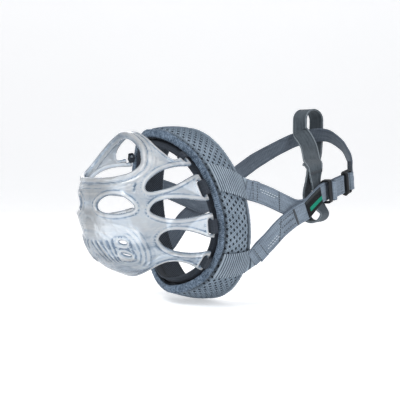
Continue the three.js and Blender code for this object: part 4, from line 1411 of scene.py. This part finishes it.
def strap_pair(name, wave, seeds, taper):
    """The lower arm with its neck strap, then the upper arm."""
    dress(webbing(f"lower_arm_and_neck_strap_{name}", LOWER[name], seed=seeds[0], wave=wave,
                  fade=2, taper=taper),
          WEB_OF[name], 'blend', f'y_strap_lower_{name}', f'neck_strap_{name}')
    dress(webbing(f"upper_arm_{name}", UPPER[name], seed=seeds[1], width=ARM_WIDTH),
          WEB_OF[name], 'blend', f'y_strap_upper_{name}')


def elastic_anchor(name, angles, shares, sizes, side, target):
    """Elastic across the band, carried on under the sewn end of its strap.

    angles (degrees), shares and sizes (widths) each give the start and the end.
    """
    section = web_section(1.0, 1.5, 22, end=0.05)
    across, through = section.T
    s = np.linspace(0, 1, 88)[:, None]
    size = sizes[0] + (sizes[1] - sizes[0]) * s ** 0.9
    angle = (angles[0] + (angles[1] - angles[0]) * s) * DEG - across * size / 57
    along = s * BAND_WIDTH * (shares[1] - shares[0]) + 0 * across
    ribs = np.sign(through) * 0.20 * np.cos(TURN * along / 2.05)
    through = (through + ribs * smoothstep(np.abs(through), 0.3, 0.6)
               + 0.1 * ripple(along * 0.2, across * 4, 21))
    points = band_point(angle, shares[0] + (shares[1] - shares[0]) * s, -1.35 - through)

    centre, sideways, face = target
    last = points[-1]
    leave = (last - points[-4]) / 3 * 6.0
    landing = (centre - sideways * section[:, :1] * ARM_WIDTH - face * 1.05
               + face * section[:, 1:] * 0.55)
    count = 14
    steps = np.linspace(0, 1, count + 1)[1:, None, None]
    ease = steps * steps * (3 - 2 * steps)
    bridge = (1 - ease) * (last + leave * steps * (1 - steps)) + ease * landing
    points = np.concatenate([points, bridge])
    gap = np.linalg.norm(landing.mean(0) - last.mean(0))
    along = np.concatenate([along, along[-1:] + gap * steps[:, :, 0]])
    size = np.concatenate([size, np.linspace(sizes[1], ARM_WIDTH, count)[:, None]])
    if side < 0:
        points = points * MIRROR
    return tube_mesh(name, points, np.stack([along, across * size], -1))


strap_pair('left', wave=0.18, seeds=(11, 12), taper=lambda share: narrow_start(share, 0.045))
for side, name in SIDES:
    dress(elastic_anchor(f"elastic_upper_{name}", angles=(25, 18.5), shares=(0.115, 1.0),
                         sizes=(19.5, 16.2), side=side, target=UPPER['left'].frame_at(0.16)),
          'elastic', 'muzzle', f'elastic_anchor_upper_{name}')
    dress(elastic_anchor(f"elastic_lower_{name}", angles=(-37, -29.5), shares=(0.115, 0.96),
                         sizes=(20.5, 17.2), side=side,
                         target=Strap(LEFT_STRAP, OUTWARD).frame_at(0.045)),
          'elastic', 'muzzle', f'elastic_anchor_lower_{name}')
strap_pair('right', wave=0.3, seeds=(13, 14), taper=right_taper)


# ---------------------------------------------------------------- sewing on the arms
def end_fold(name, strap, start_y, end_y, width, seed):
    return webbing(name, strap, strap.s_at_y(start_y), strap.s_at_y(end_y), lift=1.12,
                   width=width, thick=0.75, step=0.35, wave=0.0, seed=seed, fade=0.5)


def cross_row(strap, y, half=6.5, lift=1.55, count=6, gap_share=0.16):
    """A line of stitches square across a strap."""
    centre, side, face = strap.frame_at(strap.s_at_y(y))
    xs = np.linspace(-half, half, count + 1)
    gap = (xs[1] - xs[0]) * gap_share
    return [(centre + side * (a + gap) + face * lift, centre + side * (b - gap) + face * lift, face)
            for a, b in zip(xs[:-1], xs[1:])]


def upright_row(strap, y, half=6.3, lift=1.55, count=7, filled=0.68):
    """A column of stitches at one y, upright across a slanting strap."""
    def point(across):
        centre_y = y
        for _ in range(4):
            centre, side, face = strap.frame_at(strap.s_at_y(centre_y))
            centre_y += y - (centre[1] + side[1] * across)
        return centre + side * across + face * lift, face

    xs = np.linspace(-half, half, count + 1)
    threads = []
    for a, b in zip(xs[:-1], xs[1:]):
        gap = (b - a) * (1 - filled) / 2
        start, face = point(a + gap)
        threads.append((start, point(b - gap)[0], face))
    return threads


def long_row(strap, start_y, end_y, offset, height, length, gap, lift=0.0, samples=80):
    """Stitches along a strap, beside its centreline."""
    s = np.linspace(strap.s_at_y(start_y), strap.s_at_y(end_y), samples)
    centre, side, face = strap.frame(s)
    return stitch_row(centre + side * offset + face * height, face, length, gap, lift)


def bar_tack(strap, start_y, end_y, half=6.6, lift=0.94, count=26):
    """Threads packed back and forth across a strap."""
    frames = [strap.frame_at(s)
              for s in np.linspace(strap.s_at_y(start_y), strap.s_at_y(end_y), count)]
    threads = []
    for k, (first, second) in enumerate(zip(frames[:-1], frames[1:])):
        reach = half if k % 2 else -half
        threads.append((first[0] + first[1] * reach + first[2] * lift,
                        second[0] - second[1] * reach + second[2] * lift, first[2]))
    return threads


for sign, name in SIDES:
    upper, lower = UPPER[name], LOWER[name]
    dress(end_fold(f"upper_end_fold_{name}", upper, 2.4, 8.0, width=15.0, seed=30),
          WEB_OF[name], 'muzzle')
    dress(end_fold(f"lower_end_fold_{name}", lower, 8.9, 14.6, width=14.4, seed=31),
          WEB_OF[name], 'muzzle')
    dress(stitches(f"arm_end_stitching_{name}",
                   upright_row(upper, 3.4) + upright_row(upper, 7.4)
                   + cross_row(lower, 9.4) + cross_row(lower, 13.8), radius=0.3),
          'thread', 'muzzle')
    pale = []
    for strap, start_y, end_y, offset in ((upper, 9.8, 27.0, 2.6), (upper, 11.5, 25.0, 0.9),
                                          (lower, 15.8, 26.4, -3.2), (lower, 16.8, 25.4, -1.4)):
        pale += long_row(strap, start_y, end_y, offset * sign, height=0.86, length=1.5, gap=0.8)
    dress(stitches(f"arm_pale_stitching_{name}", pale, radius=0.3), 'pale_thread', 'muzzle')
    dress(stitches(f"arm_bar_tack_{name}", bar_tack(lower, 41.2, 42.5), radius=0.22),
          'thread', 'muzzle', f'bar_tack_{name}')
    junction = upright_row(lower, 27.6, half=6.7, lift=0.92, count=9, filled=0.86)
    junction += upright_row(upper, 28.3, half=6.5, lift=0.92, count=9, filled=0.86)
    for start_y, end_y, offset in ((28.5, 41.0, 4.2), (28.5, 41.0, -4.2), (28.8, 40.6, 0.0)):
        junction += long_row(lower, start_y, end_y, offset * sign, height=0.9, length=1.6,
                             gap=0.7)
    dress(stitches(f"junction_stitching_{name}", junction, radius=0.34), 'thread', 'muzzle')

# ---------------------------------------------------------------- adjuster and joining ring
RUN_DIRECTION = unit(RUN_END - RUN_START)
RUN_TILT = np.array([1, 0.4, 0.02])
RUN_FACE = unit(RUN_TILT - RUN_DIRECTION * (RUN_TILT @ RUN_DIRECTION))
RUN_SIDE = np.cross(RUN_FACE, RUN_DIRECTION)
RUN = float(np.linalg.norm(RUN_END - RUN_START))


def run_at(distance, out=0.0, side=0.0):
    return RUN_START + RUN_DIRECTION * distance + RUN_FACE * out + RUN_SIDE * side


def run_strap(*stations):
    return Strap([run_at(*station) for station in stations], RUN_FACE)


def rounded_frame(name, outer, hole, depth, bevel, place):
    """Bevelled frame between two rounded outlines (width, height, corner radius)."""
    outlines = [rounded_rect(width / 2, height / 2, radius, 6)
                for width, height, radius in (outer, hole)]
    points = [place(a, b, c) for c in (-depth / 2, depth / 2)
              for outline in outlines for a, b in outline]
    n = len(outlines[0])
    faces = []
    for i in range(n):
        j = (i + 1) % n
        faces += [(i, j, n + j, n + i), (2 * n + i, 3 * n + i, 3 * n + j, 2 * n + j),
                  (i, 2 * n + i, 2 * n + j, j), (n + i, n + j, 3 * n + j, 3 * n + i)]
    item = make_mesh(name, points, faces)
    fix_normals(item)
    modifier(item, 'BEVEL', width=bevel / 1000, segments=4, limit_method='ANGLE',
             angle_limit=50 * DEG)
    modifier(item, 'SUBSURF', levels=1, render_levels=1)
    return item


def moulded_bar(name, half_length, width, height, radius, place):
    """A bar with rounded edges that slims at its ends."""
    section = rounded_rect(width / 2, height / 2, radius, 5)
    points = []
    for x in np.linspace(-half_length, half_length, 13):
        scale = 0.72 + 0.28 * math.sqrt(max(0.0, 1 - (abs(x) / half_length) ** 8))
        points.append([place(x, a * scale, b * scale) for a, b in section])
    points = np.array(points)
    return tube_mesh(name, points, np.zeros(points.shape[:2] + (2,)))


def ring_fold(name, distance, half_run, half_out):
    """Webbing doubled round a bar of the joining ring."""
    rows, length = 84, 15.5
    section = web_section(14.8, 1.35, 18)
    along = (np.arange(rows) / rows * length)[:, None]
    across = section[:, 0]
    ribs = np.sign(section[:, 1]) * 0.09 * np.cos(TURN * along / 1.5)
    points = turn_points(run_at(distance, 1.1), RUN_SIDE, RUN_DIRECTION, RUN_FACE, across,
                         section[:, 1] + ribs, half_run, half_out, 3.2)
    uv = np.stack(np.broadcast_arrays(along, across), -1)
    dress(tube_mesh(name + '_webbing', points, uv, wrap=length), 'web', 'neck_strap', name)


doubled = webbing("neck_strap_doubled_run",
                  run_strap((14.4, 2.3), (20, 2.25), (30, 2.2), (RUN - 2.4, 2.2)),
                  seed=15, wave=0.1, width=14.8)
doubled.name = "doubled_webbing_run"
dress(doubled, 'web', 'neck_strap', 'neck_strap_doubled_run')

# slide the webbing threads through, with the strap bulging over a bar
dress(rounded_frame("adjuster_slide_frame", outer=(18.6, 7.3, 1.9), hole=(15.8, 4.9, 1.0),
                    depth=5.6, bevel=0.5, place=lambda a, b, c: run_at(7.6 + c, 1.0 + b, a)),
      'black', 'adjuster', 'adjuster_slide')
dress(moulded_bar("adjuster_slide_outer_bar", half_length=8.3, width=2.0, height=1.2,
                  radius=0.5, place=lambda x, a, b: run_at(13.0 + a, 4.25 + b, x)),
      'black', 'adjuster')
dress(webbing("adjuster_webbing_turn",
              run_strap((10.8, 4.0), (11.3, 5.1), (12.7, 6.0), (14.2, 5.6), (15.1, 4.7),
                        (15.8, 4.15)),
              seed=17, wave=0.0, width=15.6, thick=1.35, step=0.35, fade=0.3),
      'web', 'adjuster')

ring_frame = rounded_frame("joining_ring_frame", outer=(19.8, 16.3, 2.6),
                           hole=(15.9, 11.3, 1.3), depth=2.6, bevel=0.75,
                           place=lambda a, b, c: run_at(RUN + 6.35 + b, 1.1 + c, a))
ring_bar = moulded_bar(
    "joining_ring_front_bar", half_length=9.9, width=3.2, height=2.7, radius=1.1,
    place=lambda x, a, b: run_at(RUN - 0.2 + a, 4.3 + b - 1.9 * smoothstep(abs(x), 7.6, 9.9), x))
dress(ring_bar, 'black', 'neck_strap')
dress(ring_frame, 'black', 'neck_strap', 'joining_ring')
ring_fold("left_end_fold", RUN + 2.6, half_run=2.2, half_out=1.75)
ring_fold("right_end_fold", RUN + 13.3, half_run=2.55, half_out=2.35)
dress(stitches("left_end_stitching",
               [(run_at(distance, 2.86, x + 0.35), run_at(distance, 2.86, x + 1.9), RUN_FACE)
                for distance in (RUN - 6.6, RUN - 9.4) for x in np.arange(-6.6, 5.5, 2.2)],
               radius=0.2), 'thread', 'neck_strap')
dress(webbing("webbing_end_tab_piece",
              run_strap((RUN + 13.6, 1.4, 8.2), (RUN + 14.4, 1.2, 11.5), (RUN + 15.2, 1.1, 16.0)),
              width=6.4, thick=1.6, step=0.4, wave=0.1, rib=1.2, yarn=1.0, columns=10, seed=18),
      'dark', 'neck_strap', 'webbing_end_tab')

# ---------------------------------------------------------------- collar loop
# Line midway between the two layers of the loop
COLLAR = Curve([
    [43.6, 82.2, -17.5], [42.2, 81.4, -9], [43.2, 77.4, 4], [43.6, 77.6, 14],
    [40.6, 82.0, 23.5], [14, 106.5, 30.5], [-10.5, 129, 38], [-21.5, 138.5, 50],
    [-23.5, 140.5, 63], [-23.5, 140.7, 76.5]])


def collar_frame(s):
    tangent = COLLAR.tangent(s)
    turn = smoothstep(s, 0.22, 0.8)[:, None]
    side = np.array([-0.309, 0.952, 0.1]) * (1 - turn) + np.array([0.982, 0.184, 0]) * turn
    side = unit(side - tangent * (side * tangent).sum(1, keepdims=True))
    return COLLAR.at(s), side, unit(np.cross(side, tangent))


def collar_gap(s):
    """Distance of each layer from the line midway between them."""
    return (1.25 + 3.6 * (1 - smoothstep(s, 0.07, 0.17)) + 3.2 * (1 - smoothstep(s, 0.22, 0.40))
            + 11.8 * smoothstep(s, 0.52, 0.74))


def collar_webbing():
    width, thick = 14.6, 1.3
    s = np.linspace(0, 1, 261)
    s = s - 0.0405 * np.sin(TURN * s)
    centre, side, face = collar_frame(s)
    to_end = np.minimum(s, 1 - s)
    rounding = np.sqrt(np.maximum(0, 1 - (1 - np.minimum(1, to_end / 0.075)) ** 2))
    offset = face * (collar_gap(s) * rounding)[:, None]

    # out along one layer and back along the other, in even steps
    loop = closed(np.vstack([(centre + offset)[:-1], (centre - offset)[::-1][:-1]]))
    sides = closed(np.vstack([side[:-1], side[::-1][:-1]]))
    stations = np.r_[s[:-1], s[::-1][:-1], s[0]]
    length = lengths_along(loop)
    x = np.linspace(0, length[-1], int(length[-1] / 0.55), endpoint=False)
    # the webbing is drawn in at the tack
    scale = 1 - bumps(np.interp(x, length, stations), (0.15, 0.43, 0.045))
    loop = relax(rows_at(x, length, loop), 6)
    tangent = unit(np.roll(loop, -1, 0) - np.roll(loop, 1, 0))
    sides = rows_at(x, length, sides)
    sides = unit(sides - tangent * (sides * tangent).sum(1, keepdims=True))

    along = lengths_along(loop)
    wrap = 2 * along[-1] - along[-2]
    section = web_section(width, thick, 16)
    along = np.repeat(along[:, None], len(section), 1)
    across = np.repeat(section[None, :, 0], len(loop), 0)
    through = weave_relief(along, across, section[None, :, 1], thick, rib=1.1, yarn=0.95,
                           height=0.08)
    points = sweep(loop, sides, np.cross(sides, tangent), across * scale[:, None], through)
    return tube_mesh("collar_loop_webbing", points, np.stack([along, across], -1), wrap=wrap)


def collar_tack():
    """Nine rows of threads, slanted so that they lie level across the loop."""
    threads = []
    for row in range(9):
        x = np.linspace(-6.0, 6.0, 10)
        s = 0.398 + 0.0019 * row + 0.034 * x / 6
        centre, side, face = collar_frame(s)
        points = (centre + side * (x + 0.25 * (-1) ** row)[:, None]
                  + face * (collar_gap(s) + 0.86)[:, None])
        threads += list(zip(points[:-1], points[1:], face[:-1]))
    return threads


dress(collar_webbing(), 'loop', 'neck_strap', 'collar_loop_strip')
dress(stitches("collar_loop_satin_tack", collar_tack(), radius=0.26), 'thread', 'neck_strap',
      'collar_loop_bar_tack')

# ---------------------------------------------------------------- woven label
# on the outer face of the left strap
LABEL_START_Y, LABEL_END_Y = 53.0, 76.0
left = LOWER['left']
dress(webbing("woven_label_patch", left, left.s_at_y(LABEL_START_Y), left.s_at_y(LABEL_END_Y),
              lift=1.42, width=12.8, thick=0.75, step=0.3, rib=0.6, rib_height=0.02, yarn=0.8,
              columns=26, wave=0.05, seed=19, fade=0.5),
      'label', 'blend', 'woven_label')
label_threads = []
for offset in (-5.8, 5.8):
    label_threads += long_row(left, LABEL_START_Y, LABEL_END_Y, offset, height=1.82, length=1.5,
                              gap=0.8, lift=0.05, samples=200)
dress(stitches("label_stitching", label_threads, radius=0.16), 'thread', 'blend')

# ---------------------------------------------------------------- studio (metres)
CAMERA_AZIMUTH, CAMERA_ELEVATION, CAMERA_DISTANCE = 52.0, 2.0, 0.620
AMBIENT = 0.40


def studio_floor():
    """A pale sweep, level under the product and rising away from the camera."""
    profile = [(-2.0, 0.0)] + [(run, 0.0) for run in np.linspace(-1.2, 1.6, 8)]
    profile += [(1.6 + 0.9 * math.sin(a), 0.9 - 0.9 * math.cos(a))
                for a in np.linspace(0.15, math.pi / 2, 10)]
    profile += [(2.5, 1.6), (2.5, 3.0)]
    azimuth = CAMERA_AZIMUTH * DEG
    away_x, away_y = -math.sin(azimuth), math.cos(azimuth)
    points = [(away_x * run + away_y * x, away_y * run - away_x * x, z - 0.0012)
              for run, z in profile for x in np.linspace(-3.2, 3.2, 48)]
    item = link_mesh("studio_floor", points, grid_faces(len(profile), 48).tolist())
    shader = Shader("pale_floor")
    colour = shader.mix(shader.noise(3, detail=3), (0.86, 0.865, 0.87), (0.90, 0.90, 0.90))
    item.data.materials.append(shader.finish(shader.principled(
        Base_Color=colour, Roughness=0.75, Specular_IOR_Level=0.2,
        Emission_Color=(1, 1, 1), Emission_Strength=0.42)))


def studio_world():
    """Soft ambient light, and a full-strength backdrop for the camera."""
    world = bpy.data.worlds.new("studio")
    bpy.context.scene.world = world
    world.use_nodes = True
    tree = world.node_tree
    background = tree.nodes['Background']
    background.inputs[0].default_value = (0.93, 0.95, 1.0, 1)
    background.inputs[1].default_value = AMBIENT
    light_path = tree.nodes.new('ShaderNodeLightPath')
    strength = configure(tree.nodes.new('ShaderNodeMath'), operation='MULTIPLY_ADD')
    tree.links.new(light_path.outputs['Is Camera Ray'], strength.inputs[0])
    strength.inputs[1].default_value = 1 - AMBIENT
    strength.inputs[2].default_value = AMBIENT
    tree.links.new(strength.outputs[0], background.inputs[1])


def place_toward(name, data, target, azimuth, elevation, distance):
    """Put a light or camera at a bearing from the target, looking at it."""
    turn, rise = azimuth * DEG, elevation * DEG
    direction = Vector((math.sin(turn) * math.cos(rise), -math.cos(turn) * math.cos(rise),
                        math.sin(rise)))
    item = bpy.data.objects.new(name, data)
    item.location = Vector(target) + direction * distance
    item.rotation_euler = (-direction).to_track_quat('-Z', 'Y').to_euler()
    bpy.context.scene.collection.objects.link(item)
    return item


def softbox(name, azimuth, elevation, distance, size, power, colour=(1, 1, 1)):
    light = configure(bpy.data.lights.new(name, 'AREA'), shape='RECTANGLE', size=size[0],
                      size_y=size[1], energy=power, color=colour)
    place_toward(name, light, to_metres([0, 20, 0]), azimuth, elevation, distance)


studio_floor()
studio_world()
softbox("key_softbox", azimuth=15, elevation=48, distance=1.1, size=(0.34, 0.5), power=6.5)
softbox("side_softbox", azimuth=88, elevation=24, distance=1.2, size=(0.3, 0.8), power=4.9,
        colour=(0.97, 0.98, 1.0))
softbox("top_softbox", azimuth=40, elevation=86, distance=1.2, size=(0.5, 0.5), power=1.3)
softbox("rim_strip", azimuth=250, elevation=30, distance=1.2, size=(0.25, 0.8), power=1.4)

lens = configure(bpy.data.cameras.new("camera"), sensor_width=36, lens=73.098,
                 clip_start=0.01, clip_end=20)
bpy.context.scene.camera = place_toward("camera", lens, to_metres([0, 0, 0]), CAMERA_AZIMUTH,
                                        CAMERA_ELEVATION, CAMERA_DISTANCE)
configure(bpy.context.scene.view_settings, view_transform='Standard', look='None')
